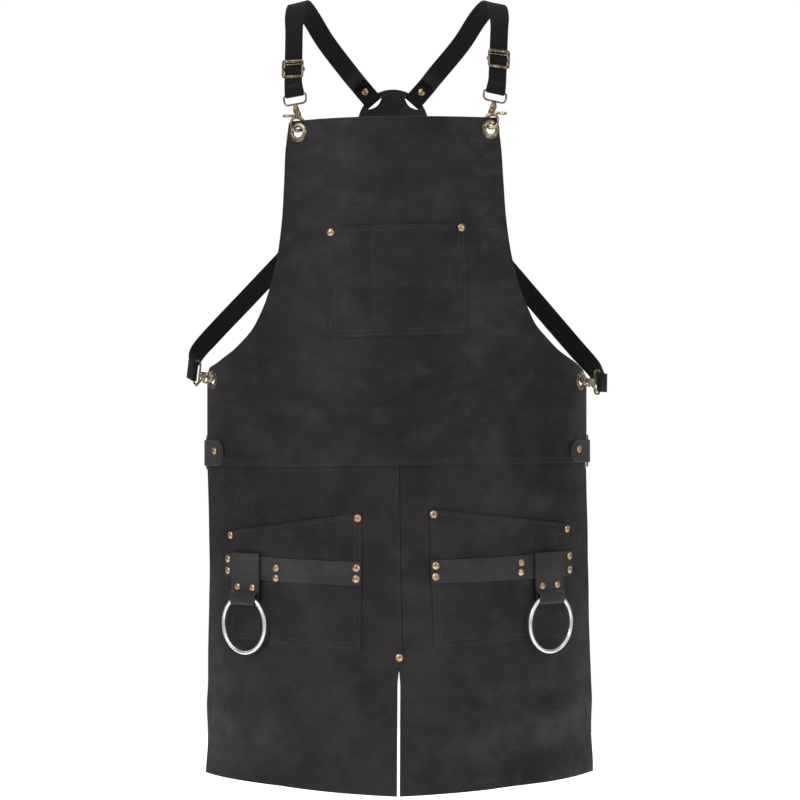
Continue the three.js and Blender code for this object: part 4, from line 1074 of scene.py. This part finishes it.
# ------------------------------------------------------------------- pockets
def pocket(name, node, bl, br, tr, tl, dividers=(), bulge=1.8, bulge_from=0.5, crease=None, hem=4.6):
    grid, A, B, width, height = quad_grid(bl, br, tr, tl, EDGE2, EDGE2, EDGE2, EDGE, 3.4)

    def ab(s, z):
        b = 0.5
        for _ in range(6):
            l, r_ = bilinear(bl, br, tr, tl, 0, b), bilinear(bl, br, tr, tl, 1, b)
            a = (s - l[0]) / (r_[0] - l[0])
            lo, hi = bilinear(bl, br, tr, tl, a, 0), bilinear(bl, br, tr, tl, a, 1)
            b = (z - lo[1]) / (hi[1] - lo[1])
        return a, b

    def height_at(s, z, c=0, r=0):
        a, b = ab(s, z)
        da, db, dt = min(a, 1 - a) * width, b * height, (1 - b) * height
        # the sewn border lies on the panel; the middle stands off a little
        free = smoothstep(min(da, db), 8, 30)
        w = POCKET_W + hang(s, z)
        mouth = bulge * smoothstep(b, bulge_from, 1.0) * smoothstep(da, 9, 46)
        for dv in dividers:
            mouth *= 1 - 0.9 * gauss((a - dv) * width, 9)
        w += mouth + 0.35 * free
        for d in (3.3, 8.6):
            w -= 0.38 * gauss(min(da, db) - d, 0.75)
        w -= 0.30 * gauss(dt - hem, 0.8) * (1 if da > 9 else 0)
        for dv in dividers:
            for e in (-1.7, 1.7):
                w -= 0.32 * gauss((a - dv) * width - e, 0.8)
        if crease is not None:
            (sa, za), (sb, zb) = crease
            L = math.dist((sa, za), (sb, zb))
            ux, uz = (sb - sa) / L, (zb - za) / L
            along = (s - sa) * ux + (z - za) * uz
            off = (s - sa) * -uz + (z - za) * ux
            env = smoothstep(along, -8, 18) * (1 - smoothstep(along, L - 18, L + 6))
            w += env * (0.95 * gauss(off, 3.2) - 0.35 * gauss(off - 6, 3.4))
        return w

    # rows through the dividers, so that their groove is real
    extra = sorted({round(dv * width + e, 3) for dv in dividers for e in (-2.6, -1.7, -0.8, 0, 0.8, 1.7, 2.6)})
    if extra:
        A2 = [a for a in A if all(abs(a - e) > 0.7 for e in extra)] + extra
        A2.sort()
        grid = [[bilinear(bl, br, tr, tl, a / width, b / height) for b in B] for a in A2]
    o = leather_sheet(name, grid, height_at, THIN, LEATHERS)
    fix_normals(o)
    put(o, "apron", "leather", node)
    at = lambda a, b: bilinear(bl, br, tr, tl, a / width, b / height)
    lines = []
    for d in (3.3, 8.6):
        lines.append((line(at(d, height - 3), at(d, d)) , height_at))
        lines.append((line(at(d + 1, d), at(width - d - 1, d)), height_at))
        lines.append((line(at(width - d, d), at(width - d, height - 3)), height_at))
    lines.append((line(at(12, height - hem), at(width - 12, height - hem)), height_at))
    for dv in dividers:
        for e in (-1.7, 1.7):
            lines.append((line(at(dv * width + e, height - hem - 2), at(dv * width + e, 11)), height_at))
    st = stitches("stitching_" + name, lines)
    return o, height_at, width, height, st


chest, chest_h, cw, ch, chest_st = pocket("chest_pocket_leather", "chest_pocket", (-86.7, 79.1), (92.1, 84.3), (88, 225.2), (-91.5, 219.6), dividers=(0.325,), bulge=1.5)
hip_l, hip_l_h, hlw, hlh, hip_l_st = pocket("hip_pocket_leather_left", "hip_pocket_left", (-247, -312.8), (-46, -319.2), (-44.7, -143.7), (-250, -172.4), bulge=1.6, bulge_from=0.78)
hip_r, hip_r_h, hrw, hrh, hip_r_st = pocket("hip_pocket_leather_right", "hip_pocket_right", (47.2, -315.4), (266, -309.6), (257, -163.4), (40.8, -138.6), bulge=1.6, bulge_from=0.78,
                                          crease=((66, -236), (101, -304)))


def band(name, node, bl, br, tr, tl, under):
    grid, A, B, width, height = quad_grid(bl, br, tr, tl, PLAIN, PLAIN, PLAIN, PLAIN, 4.0)
    o = leather_sheet(name, grid, lambda s, z, c, r: max(hang(s, z) + POCKET_W, under(s, z)) + GAP * 0.4 + THIN, THIN, BELT)
    fix_normals(o)
    return put(o, "apron", "strap_leather", node)


def band_h(under):
    return lambda s, z: max(hang(s, z) + POCKET_W, under(s, z)) + GAP * 0.4 + THIN


band("tool_band_leather_left", "tool_band_left", (-252, -231.4), (-45.5, -236.5), (-45.5, -206), (-252, -201.2), hip_l_h)
band("tool_band_leather_right", "tool_band_right", (43.4, -232.7), (260, -230.9), (260, -197.9), (42.1, -203.4), hip_r_h)

# -------------------------------------------------------------------- rivets
CAP = [(0, 0), (5.0, 0.0), (5.15, 0.25), (5.0, 0.62), (4.55, 0.82), (4.25, 0.98), (3.9, 1.34), (3.2, 1.78), (2.3, 2.10), (1.2, 2.27), (0, 2.32)]
CAP_PART = lathe([(r / 1000, h / 1000) for r, h in CAP], 28, closed=False)


def rivet(name, o, out, node=None, scale=0.94):
    out = Vector(out).normalized()
    x = out.orthogonal().normalized()
    m = basis(x * scale, out.cross(x) * scale, out * scale, o)
    v, f = moved(CAP_PART, m)
    obj = new_object(name, v, f, [M_RIVET])
    fix_normals(obj)
    return put(obj, "apron", "rivet_brass", *([node] if node else []))


def rivet_at(name, s, z, w, node=None):
    rivet(name, wrap(s, w + 0.02, z), wrap_axes(s)[1], node)


bl_h, br_h = band_h(hip_l_h), band_h(hip_r_h)
for name, s, z, fn in [
    ("rivet_chest_left", -86.3, 214.2, chest_h), ("rivet_chest_right", 82.7, 219.8, chest_h),
    ("rivet_pocket_left_inner", -50.4, -150.4, hip_l_h), ("rivet_pocket_left_outer", -243.5, -177.5, hip_l_h),
    ("rivet_pocket_right_inner", 46.4, -145.3, hip_r_h), ("rivet_pocket_right_outer", 250.3, -169.5, hip_r_h),
    ("rivet_band_left_inner", -51.6, -213.6, bl_h), ("rivet_band_left_middle", -162.2, -216.5, bl_h),
    ("rivet_band_right_inner", 48.9, -210.4, br_h), ("rivet_band_right_middle", 167.2, -209.7, br_h),
    ("rivet_slit_top", 2.8, -327.2, lambda s, z: leg_height(-1, s, z) + 0.3)]:
    rivet_at(name + "_cap", s, z, fn(s, z) - 0.05, name)
for name, s, z, fn in [
    ("rivet_band_left_middle_low", -162.5, -229.7, bl_h), ("rivet_band_left_inner_low", -51.9, -227.5, bl_h),
    ("rivet_band_left_outer_high", -246.4, -208.6, bl_h), ("rivet_band_left_outer_low", -246.6, -223.8, bl_h),
    ("rivet_band_right_middle_low", 166.6, -222.1, br_h), ("rivet_band_right_inner_low", 48.8, -224.6, br_h),
    ("rivet_band_right_outer_high", 253.2, -205.0, br_h), ("rivet_band_right_outer_low", 253.5, -223.3, br_h)]:
    rivet_at(name, s, z, fn(s, z) - 0.05)

# --------------------------------------------------- hangers and their rings
RING_R, RING_WIRE = 37.0, 2.4


def hanger(side, s_mid, z_top, ring_z, z_rivet):
    tag = "left" if side < 0 else "right"
    H = HANG[tag]
    t, out, up = wrap_axes(s_mid)
    o = wrap(s_mid, BAND_W + GAP + THIN / 2, 0)
    at = lambda h, z: Vector((o.x, o.y, 0)) + out * (h / 1000) + Vector((0, 0, (z - SHIFT[2]) / 1000))
    z_bend = z_top - 49
    z_bot = ring_z + RING_R
    r = RING_WIRE + 0.45 + THIN / 2
    fold = z_bot - 7.9
    mid = r + 0.2
    pts = [(1.95, z_top + 0.2, 24.0), (1.95, z_top - 1.2, 24.5), (2.0, z_top - 12, 24.5), (2.05, z_top - 26, 24.5), (2.0, z_rivet + 7, 24.4), (1.85, z_rivet, 24.2), (1.95, z_bot + 7.8, 23.6),
           (3.5, z_bot + 5.2, 23.2), (5.9, z_bot + 3.1, 22.8), (7.25, z_bot + 0.2, 22.4), (mid + r, z_bot - 3.6, 22.0)]
    for k in range(0, 9):
        a = k / 8 * math.pi
        pts.append((mid + r * math.cos(a), fold - r * math.sin(a), 21.8 - 0.3 * math.sin(a)))
    pts += [(mid - r, z_bend - 8, 22.3), (0.05, z_bend - 2, 23.2), (0, z_rivet, 24.0), (0, z_rivet + 8, 24.3), (0, z_top - 20, 24.5), (0, z_top - 1.2, 24.5), (0, z_top + 0.2, 24.0)]
    P = catmull([(h, z, w) for h, z, w in pts], 3)
    st = [(at(h, z), t, w / 1000) for h, z, w in P]
    obj = ribbon("ring_hanger_leather_" + tag, st, 0.00155, [M_STRAP, M_STRAP, M_EDGE_AND_SHADE], across=13, edge_mat=2)
    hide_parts("ring_hanger_" + tag, "ring_fold_" + tag)
    tuple(at(1, z_bend + 1.0))
    tuple(at(1, z_bend - 3.2))
    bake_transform(obj)
    lift = 1.85 + THIN / 2
    for k, nm in ((1, "inner"), (-1, "outer")):
        c = at(lift - 0.05, z_rivet) + t * (-side * k * 13.2 / 1000)
        rivet(f"rivet_hanger_{tag}_{nm}_cap", c, out, f"rivet_hanger_{tag}_{nm}")
    # ring: round wire with the butt weld that such rings have
    c, n_, tg = Vector(H["ring"]), Vector(H["n"]), Vector(H["t"])
    path, radii = [], []
    for k in range(128):
        a = 2 * math.pi * k / 128
        path.append((RING_R / 1000 * math.cos(a), RING_R / 1000 * math.sin(a), 0))
        weld = 0.16 * gauss(((k + 32) % 128 - 64) / 1.2, 1)
        radii.append((RING_WIRE + 0.22 + weld * 0.6) / 1000)
    part = tube(path, radii, 20, closed=True)
    v, f = moved(part, basis(tg, Vector((0, 0, 1)), tg.cross(Vector((0, 0, 1))), c))
    ring = new_object("tool_ring_wire_" + tag, v, f, [M_STEEL])
    fix_normals(ring)
    put(ring, "ring_" + tag, "steel_ring", "tool_ring_" + tag)


hanger(-1, -210, -199.5, -291.5, -243.4)
hanger(1, 211, -198.2, -290, -241)


# ------------------------------------------------------ side tabs and D-rings
def side_tab(side, s_edge, z_low, z_high, s_rivet, z_rivet):
    tag = "left" if side < 0 else "right"
    zm, half = (z_low + z_high) / 2, (z_high - z_low) / 2
    w1, w0 = GAP + THIN / 2, -LEATHER - GAP - THIN / 2
    r, wm = (w1 - w0) / 2, (w1 + w0) / 2
    end = s_edge - 43
    pts = []
    for d in (0, 0.35, 1.0, 2.0, 3.4, 5.2, 7.5, 10.5, 14, 19, 25, 31, 37, 41, 46.6):
        k = min(1.0, d / 13.0)
        pts.append((end + d, w1, max(0.30, math.sqrt(1 - (1 - k) ** 2.2)) * half))
    for k in range(1, 9):
        a = k / 9 * math.pi
        pts.append((s_edge + 3.6 + r * math.sin(a), wm + r * math.cos(a), half))
    for d in (3.6, -2, -8, -14, -20):
        pts.append((s_edge + d, w0, half))
    st = [(wrap(side * s, w, zm), Vector((0, 0, side)), h / 1000) for s, w, h in pts]
    o = ribbon("side_tab_leather_" + tag, st, 0.0016, [M_STRAP, M_STRAP, M_EDGE_AND_SHADE], across=9, edge_mat=2)
    put(o, "apron", "strap_leather", "side_tab_" + tag)
    rivet_at(f"rivet_tab_{tag}_cap", s_rivet, z_rivet, GAP + THIN, "rivet_tab_" + tag)
    # stitching round the tab's outer end
    path = []
    hh = half - 3.2
    for a in [x * math.pi / 12 for x in range(13)]:
        path.append((side * (end + 13.4 - 10.4 * math.sin(a)), zm + hh * math.cos(a)))
    path = line((side * (s_edge - 1), zm + hh), path[0]) + path[1:-1] + line(path[-1], (side * (s_edge - 1), zm - hh))
    stitches("stitching_tab_" + tag, [(path, lambda s, z: GAP + THIN)], pitch=3.2, length=2.4)
    # D-ring
    bar, Hh = Vector(TABS[tag]["bar"]) * 1000, half + 5.5
    loop = []
    for k in (-1, -0.6, -0.2, 0.2, 0.6, 1):
        loop.append((0, k * (Hh - 3)))
    for a in (20, 45, 70):
        q = math.radians(a)
        loop.append((3 * (1 - math.cos(q)), Hh - 3 + 3 * math.sin(q)))
    for k in range(0, 15):
        a = math.pi / 2 - (k / 14) * math.pi
        loop.append((8 + 12 * math.cos(a), Hh * math.sin(a)))
    for a in (70, 45, 20):
        q = math.radians(a)
        loop.append((3 * (1 - math.cos(q)), -(Hh - 3) - 3 * math.sin(q)))
    dense = catmull([(a, b, 0) for a, b in loop + loop[:1]], 2)[:-1]
    path = [Vector((bar.x, bar.y + a, bar.z + b)) / 1000 for a, b, _ in dense]
    v, f = tube(path, 0.00115, 14, closed=True, plane=(1, 0, 0))
    ring = new_object("side_ring_wire_" + tag, v, f, [M_BRASS])
    fix_normals(ring)
    put(ring, "side_ring_" + tag, "antique_brass", "side_ring_" + tag)


side_tab(-1, 302.8, -88, -53.5, -279.4, -67.8)
side_tab(1, 303.2, -83, -53, 277.4, -65)

# ------------------------------------------------- eyelets, snap hooks, bails
mm = 0.001


def arc_pts(cx, cy, r, a0, a1, n):
    return [(cx + r * math.cos(math.radians(a0 + (a1 - a0) * k / n)), cy + r * math.sin(math.radians(a0 + (a1 - a0) * k / n)), 0) for k in range(n + 1)]


def scaled(points, k=mm):
    return [tuple(x * k for x in p) for p in points]


def build_hook():
    """Claw, neck and barrel in the claw's plane: x towards the gate's far side, y along the hook."""
    claw = arc_pts(0, 0, 8.75, 197, 452, 44)
    n = len(claw)
    radii = []
    for k in range(n):
        f = k / (n - 1)
        r = 1.55 + 0.65 * min(1.0, f * 5) + 0.35 * f
        radii.append((r * mm, (r + 0.02) * mm * (0.94 if f < 0.1 else 1.0)))
    parts = [tube(scaled(claw), radii, 14)]
    neck = [(0.6, 8.6, 0), (2.1, 9.6, 0), (2.4, 11.4, 0), (1.7, 13.8, 0), (0.6, 16.2, 0), (0.0, 18.2, 0)]
    neck = [tuple(p) for p in catmull(neck, 4)]
    nn = len(neck)
    parts.append(tube(scaled(neck), [((2.8 + 1.6 * math.sin(math.pi * min(1, k / (nn - 1) * 0.7))) * mm, (2.1 + 0.9 * k / (nn - 1)) * mm) for k in range(nn)], 14))
    brace = [tuple(p) for p in catmull([(-0.4, 8.4, 0), (-0.5, 12.4, 0), (-0.7, 16.4, 0)], 4)]
    parts.append(tube(scaled(brace), 1.7 * mm, 12))
    # the two raised laces of the casting that cross over the body
    for sgn in (-1, 1):
        for zz_ in (-1, 1):
            lace = [tuple(p) for p in catmull([(1.2 - sgn * 2.6, 9.6, zz_ * 2.2), (1.3, 12.4, zz_ * 3.0), (0.9 + sgn * 2.5, 15.6, zz_ * 2.7)], 4)]
            parts.append(tube(scaled(lace), 0.85 * mm, 10))
    prof = [(1.95, 18.4), (1.95, 23.6), (2.9, 23.8), (3.3, 23.3), (3.5, 22.6), (3.2, 22.1), (3.5, 21.4), (4.1, 20.4), (4.4, 18.8), (4.2, 17.0), (3.0, 16.0), (0.6, 15.9), (0.5, 18.2)]
    v, f = lathe([(r * mm, h * mm) for r, h in prof], 28)
    v = [Vector((p.x, p.z, -p.y)) for p in v]
    parts.append((v, f))
    return fused(merge(parts), 0.00030, 2)


def build_gate():
    """Curved gate with its thumb stub, in the claw's plane."""
    g = arc_pts(0, 0, 8.65, 181, 114, 14)
    radii = [((1.35 + 0.4 * min(1.0, k / 5)) * mm, 1.65 * mm) for k in range(len(g))]
    parts = [tube(scaled(g), radii, 12)]
    knuckle = lathe([(0, -1.6 * mm), (1.6 * mm, -1.6 * mm), (2.15 * mm, -1.2 * mm), (2.15 * mm, 1.2 * mm), (1.6 * mm, 1.6 * mm), (0, 1.6 * mm)], 20, closed=False)
    parts.append(([v + Vector((-4.5 * mm, 10.3 * mm, 0)) for v in knuckle[0]], knuckle[1]))
    stub = [(-4.6, 10.6, 0), (-8, 10.8, 0), (-12, 10.8, 0), (-15.5, 10.8, 0), (-17.1, 10.8, 0)]
    parts.append(tube(scaled(stub), [(2.0 * mm, 1.9 * mm), (1.75 * mm, 1.75 * mm), (1.85 * mm, 1.85 * mm), (2.1 * mm, 2.1 * mm), (2.0 * mm, 2.0 * mm)], 14))
    return fused(merge(parts), 0.00028, 2)


def build_bail():
    """Wire eye, collar and swivel stem: x across, y along the hook, z out of the leather."""
    hx, hz, rt, rl, cz = 15.9, 6.3, 2.8, 5.8, 32.0
    loop = []
    for cx, cy, a0, rc in ((hx - rt, hz - rt, 0, rt), (-(hx - rt), hz - rt, 90, rt), (-(hx - rl), -(hz - rl), 180, rl), (hx - rl, -(hz - rl), 270, rl)):
        for k in range(9):
            a = math.radians(a0 + k * 90 / 8)
            loop.append((cx + rc * math.cos(a), cz + cy + rc * math.sin(a), 0))
    dense = []
    for i in range(len(loop)):
        a, b = loop[i], loop[(i + 1) % len(loop)]
        n = max(1, int(math.dist(a, b) / 1.4))
        dense += [tuple(a[j] + (b[j] - a[j]) * k / n for j in range(3)) for k in range(n)]
    parts = [tube(scaled(dense), 1.3 * mm, 14, closed=True)]
    prof = [(0, 18.9), (1.25, 18.9), (1.4, 19.3), (1.4, 24.1), (2.3, 24.2), (2.6, 24.6), (2.5, 25.1), (1.9, 25.9), (1.5, 26.6), (0, 26.8)]
    v, f = lathe([(r * mm, h * mm) for r, h in prof], 20, closed=False)
    parts.append(([Vector((p.x, p.z, -p.y)) for p in v], f))
    return fused(merge(parts), 0.00030, 2)


def build_slider():
    loop = []
    hx, hy, rc = 14.0, 9.9, 2.0
    for cx, cy, a0 in ((hx - rc, hy - rc, 0), (-(hx - rc), hy - rc, 90), (-(hx - rc), -(hy - rc), 180), (hx - rc, -(hy - rc), 270)):
        for k in range(6):
            a = math.radians(a0 + k * 18)
            loop.append((cx + rc * math.cos(a), cy + rc * math.sin(a), 2.3))
    dense = []
    for i in range(len(loop)):
        a, b = loop[i], loop[(i + 1) % len(loop)]
        n = max(1, int(math.dist(a, b) / 1.2))
        dense += [tuple(a[j] + (b[j] - a[j]) * k / n for j in range(3)) for k in range(n)]
    thick = lambda p: smoothstep(abs(p[1]), 7.6, 9.7) * (1 - smoothstep(abs(p[0]), 12.2, 14.2))
    parts = [tube(scaled(dense), [((1.85 + 0.25 * thick(p)) * mm, (1.05 + 0.10 * thick(p)) * mm) for p in dense], 14, closed=True)]
    parts.append(tube(scaled([(-14.2, 5.6, 2.25), (0, 5.6, 2.35), (14.2, 5.6, 2.25)]), [(0.95 * mm, 0.85 * mm)] * 3, 12))
    for sx in (-1, 1):
        parts.append(tube(scaled([(sx * 14.35, 0, 2.6), (sx * 14.35, 0, 0), (sx * 14.35, 0, -2.6)]), [(0.8 * mm, 2.9 * mm)] * 3, 14, plane=(0, 1, 0)))
    parts.append(tube(scaled([(-14.4, 0, -2.55), (0, 0, -2.55), (14.4, 0, -2.55)]), [(1.25 * mm, 0.95 * mm)] * 3, 14))
    return fused(merge(parts), 0.00032, 2)


hook_part, gate_part, bail_part, slider_part = build_hook(), build_gate(), build_bail(), build_slider()
EYELET = [(6.35, 0.0), (6.5, 0.9), (6.95, 1.55), (7.7, 1.95), (8.6, 2.05), (9.9, 1.85), (11.1, 1.5), (11.9, 1.25), (12.3, 1.08), (12.2, 1.02), (7.2, 1.02)]
eye_prof = EYELET + [(r, -h) for r, h in EYELET[::-1] if h > 0]
eye_part = lathe([(r * mm, h * mm) for r, h in eye_prof], 56)
for tag, h in HOOKS.items():
    o, q, x, p, z = (Vector(h[k]) for k in "oqxpz")
    for part, mat, name, node, body in ((hook_part, basis(p, q, z, o), "hook_cast_", "snap_hook_", "hook_"), (gate_part, basis(p, q, z, o), "gate_cast_", "hook_gate_", "gate_"),
                                        (bail_part, basis(x, q, x.cross(q), o), "bail_cast_", "bail_", None)):
        v, f = moved(part, mat)
        obj = new_object(name + tag, v, f, [M_BRONZE if body is None else M_BRASS])
        put(obj, body + tag if body else "apron", "antique_brass", node + tag)
    s, zz = EYES[tag]
    t, out, up = wrap_axes(s)
    v, f = moved(eye_part, basis(t, up, out, wrap(s, -1, zz)))
    obj = new_object("eyelet_rolled_" + tag, v, f, [M_BRASS])
    fix_normals(obj)
    put(obj, "apron", "antique_brass", "eyelet_" + tag)
for tag, hk in (("left", "top_left"), ("right", "top_right")):
    h = HOOKS[hk]
    x, q = Vector(h["xs"]), Vector(h["qs"])
    v, f = moved(slider_part, basis(x, q, x.cross(q), Vector(SLIDERS[tag])))
    obj = new_object("slider_cast_" + tag, v, f, [M_BRONZE])
    put(obj, "slider_" + tag, "antique_brass", "strap_slider_" + tag)

# -------------------------------------------------------------------- straps
HALF, WEB = 0.0127, 0.0016
for name, rows in STRAPS.items():
    hk = HOOKS[{"shoulder_strap_left": "top_left", "shoulder_strap_right": "top_right", "hip_strap_left": "hip_left", "hip_strap_right": "hip_right"}[name]]
    rim = RIMS[name]
    q, bar = Vector(hk["q"]), Vector(hk["bar"])
    yb = -Vector(hk["x"]).cross(q)
    r_bar = (1.2 + 0.45 + 0.8) * mm
    pts = [(Vector(r[:3]) * mm, Vector(r[3:]).normalized()) for r in rows]
    # The tail is pinched on to the front layer and sewn there.
    u0 = pts[0][1]
    tail = [(bar + yb * (r_bar - k * mm) + q * (d * mm), u0) for d, k in ((19, 3.15), (15, 3.15), (11, 3.0), (8, 2.1), (4, 0.7))]
    pts = tail + pts[2:]
    # The same at the patch: the last two stations are the tail behind the front layer.
    rv, edge = Vector(rim["r"]), Vector(rim["edge"])
    rr = (1.3 + 0.45 + 0.8) * mm
    u1 = pts[-1][1]
    back = [(edge + Vector((0, rr - k * mm, 0)) + rv * (d * mm), u1) for d, k in ((4, 0.3), (8, 1.5), (12, 2.7), (16, 3.35), (21, 3.4), (27, 3.4))]
    pts = pts[:-2] + back
    dense = catmull([tuple(c * 1000) + tuple(u * 10) for c, u in pts], 3.2)
    st = [(Vector(r[:3]) * mm, Vector(r[3:]).normalized(), HALF) for r in dense]
    o = ribbon(name.replace("strap", "webbing"), st, WEB, [M_WEB], across=13)
    put(o, "apron", "webbing", name)
    # Bar tacks across the doubled ends, and the rivet at the patch.
    front_n = -yb
    a = bar - yb * (r_bar + 0.8 * mm)
    xx = Vector(hk["x"])
    tacks = [([(a + q * (d * mm) + xx * (k * mm), front_n) for k in np.arange(-10.5, 10.6, 1.5)], None) for d in (9.5, 12.0)]
    stitches("stitching_" + name, tacks, pitch=1.7, length=1.5)
    if name.startswith("shoulder"):
        tag = name.split("_")[-1]
        rivet(f"rivet_patch_{tag}_cap", edge + Vector((0, -rr - 0.8 * mm, 0)) + rv * (17.5 * mm), (0, -1, 0), "rivet_patch_" + tag)
    else:
        rivet("rivet_patch_low_" + name.split("_")[-1], edge + Vector((0, -rr - 0.8 * mm, 0)) + rv * (17.5 * mm), (0, -1, 0))
    rivet("rivet_back_" + name, edge + Vector((0, rr - 3.4 * mm + 0.8 * mm, 0)) + rv * (17.5 * mm), (0, 1, 0))

# ---------------------------------------------------------------- back patch
verts = []
RAD = [0.0, 8, 16, 24, 30, 34, 37, 40, 43, 45, 46.2, 47.0, 47.6, 48.3]
prof = [(r, 1.3 - (0.4 * gauss(r - 45, 0.7))) for r in RAD] + [(48.8, 0.95), (49.0, 0.35), (49.0, -0.35), (48.8, -0.95), (48.3, -1.3)] + [(r, -1.3) for r in RAD[:-1][::-1]]
v, f = lathe([(r * mm, h * mm) for r, h in prof], 96, closed=False)
D = Vector(DISC)
m = basis(Vector((1, 0, 0)), Vector((0, 0, 1)), Vector((0, -1, 0)), D)
v, f = moved((v, f), m)
disc = new_object("back_patch_leather", v, f, LEATHERS)
fix_normals(disc)
cutters = []
for name, rim in RIMS.items():
    rv, al = Vector(rim["r"]), Vector(rim["along"])
    c = D + rv * (38.6 * mm)
    outline = []
    for k in range(7):
        a = math.radians(k * 15)
        outline.append((12.2 + 1.0 * math.cos(a), 2.6 + 1.0 * math.sin(a)))
    for k in range(7):
        a = math.radians(90 + k * 15)
        outline.append((-12.2 + 1.0 * math.cos(a), 2.6 + 1.0 * math.sin(a)))
    for k in range(1, 16):
        xx_ = -13.0 + 26.0 * k / 16
        outline.append((xx_, 0.4 - 4.8 * (1 - abs(xx_ / 13.0) ** 1.8)))
    n = len(outline)
    vv = [c + al * (a * mm) + rv * (b * mm) + Vector((0, y, 0)) for y in (-0.01, 0.01) for a, b in outline]
    ff = [tuple(range(n)), tuple(reversed(range(n, 2 * n)))] + [(i, (i + 1) % n, n + (i + 1) % n, n + i) for i in range(n)]
    cutters.append((vv, ff))
cut(disc, cutters)
for poly in disc.data.polygons:
    nrm = poly.normal
    poly.material_index = 0 if nrm.y < -0.6 else (1 if nrm.y > 0.6 else 2)
put(disc, "apron", "leather", "back_patch")
ring_line = []
for k in range(97):
    a = 2 * math.pi * k / 96
    ring_line.append((D + Vector((45 * mm * math.cos(a), -(1.3 - 0.4) * mm, 45 * mm * math.sin(a))), Vector((0, -1, 0))))
segs, cur = [], []
for pnt in ring_line:
    d = (pnt[0] - D).normalized()
    near = any(d.dot(Vector(rim["r"])) > math.cos(math.radians(19.5)) for rim in RIMS.values())
    if near:
        if len(cur) > 1:
            segs.append((cur, None))
        cur = []
    else:
        cur.append(pnt)
if len(cur) > 1:
    segs.append((cur, None))
stitches("stitching_patch", segs)


for o, bl, br, tr, tl, on in ((chest, (-86.7, 79.1), (92.1, 84.3), (88, 225.2), (-91.5, 219.6), bib), (hip_l, (-247, -312.8), (-46, -319.2), (-44.7, -143.7), (-250, -172.4), leg_l),
                              (hip_r, (47.2, -315.4), (266, -309.6), (257, -163.4), (40.8, -138.6), leg_r)):
    h = (max(tl[1], tr[1]) - min(bl[1], br[1])) / 1000

# ------------------------------------------------------ floor, light, camera
def stage_material():
    m, nt, b = start("studio_floor")
    v = coords(nt)
    f = tex(nt, "ShaderNodeTexNoise", v, scale=3.0, detail=2.0).outputs[0]
    nt.links.new(ramp(nt, f, [(0.3, (0.93, 0.93, 0.93, 1)), (0.7, (0.96, 0.96, 0.96, 1))]), b.inputs["Base Color"])
    b.inputs["Roughness"].default_value = 0.9
    b.inputs["Emission Color"].default_value = (1, 1, 1, 1)
    b.inputs["Emission Strength"].default_value = 0.75
    return m


n = 96
verts = [Vector((2.4 * math.cos(2 * math.pi * k / n), 2.4 * math.sin(2 * math.pi * k / n), -1.32)) for k in range(n)]
floor = new_object("studio_floor", verts, [tuple(range(n))], [stage_material()], smooth=False)

world = bpy.data.worlds.new("studio") if scene.world is None else scene.world
scene.world = world
world.use_nodes = True
nt = world.node_tree
for node in list(nt.nodes):
    nt.nodes.remove(node)
out = nt.nodes.new("ShaderNodeOutputWorld")
lp = nt.nodes.new("ShaderNodeLightPath")
dim, white, mx = nt.nodes.new("ShaderNodeBackground"), nt.nodes.new("ShaderNodeBackground"), nt.nodes.new("ShaderNodeMixShader")
dim.inputs[0].default_value = (1, 1, 1, 1)
dim.inputs[1].default_value = 0.30
white.inputs[0].default_value = (1, 1, 1, 1)
white.inputs[1].default_value = 1.0
nt.links.new(lp.outputs["Is Camera Ray"], mx.inputs[0])
nt.links.new(dim.outputs[0], mx.inputs[1])
nt.links.new(white.outputs[0], mx.inputs[2])
nt.links.new(mx.outputs[0], out.inputs[0])


def area(name, loc, target, size, power, size_y=None):
    d = bpy.data.lights.new(name, "AREA")
    d.energy = power
    d.size = size
    if size_y:
        d.shape = "RECTANGLE"
        d.size_y = size_y
    o = bpy.data.objects.new(name, d)
    scene.collection.objects.link(o)
    o.location = loc
    o.rotation_euler = (Vector(target) - Vector(loc)).to_track_quat("-Z", "Y").to_euler()
    return o


area("key", (-1.5, -1.9, 0.9), (0, 0, -0.45), 1.1, 42, 1.6)
area("fill", (1.9, -1.7, 0.2), (0, 0, -0.5), 1.0, 20, 1.8)
area("top", (0.0, -0.4, 1.6), (0, 0, -0.4), 1.6, 16)
area("back_left", (-1.4, 1.9, 0.4), (0, 0.1, -0.5), 1.0, 18, 1.6)
area("back_right", (1.5, 1.7, 0.2), (0, 0.1, -0.5), 1.0, 12, 1.6)

cam = bpy.data.cameras.new("camera")
cam.sensor_width = 36
cam.lens = 95.67
cam.dof.use_dof = False
co = bpy.data.objects.new("camera", cam)
scene.collection.objects.link(co)
co.location = (0.0038, -2.788, -0.5175)
co.rotation_euler = (math.pi / 2, 0, 0)
scene.camera = co
scene.view_settings.view_transform = "Standard"
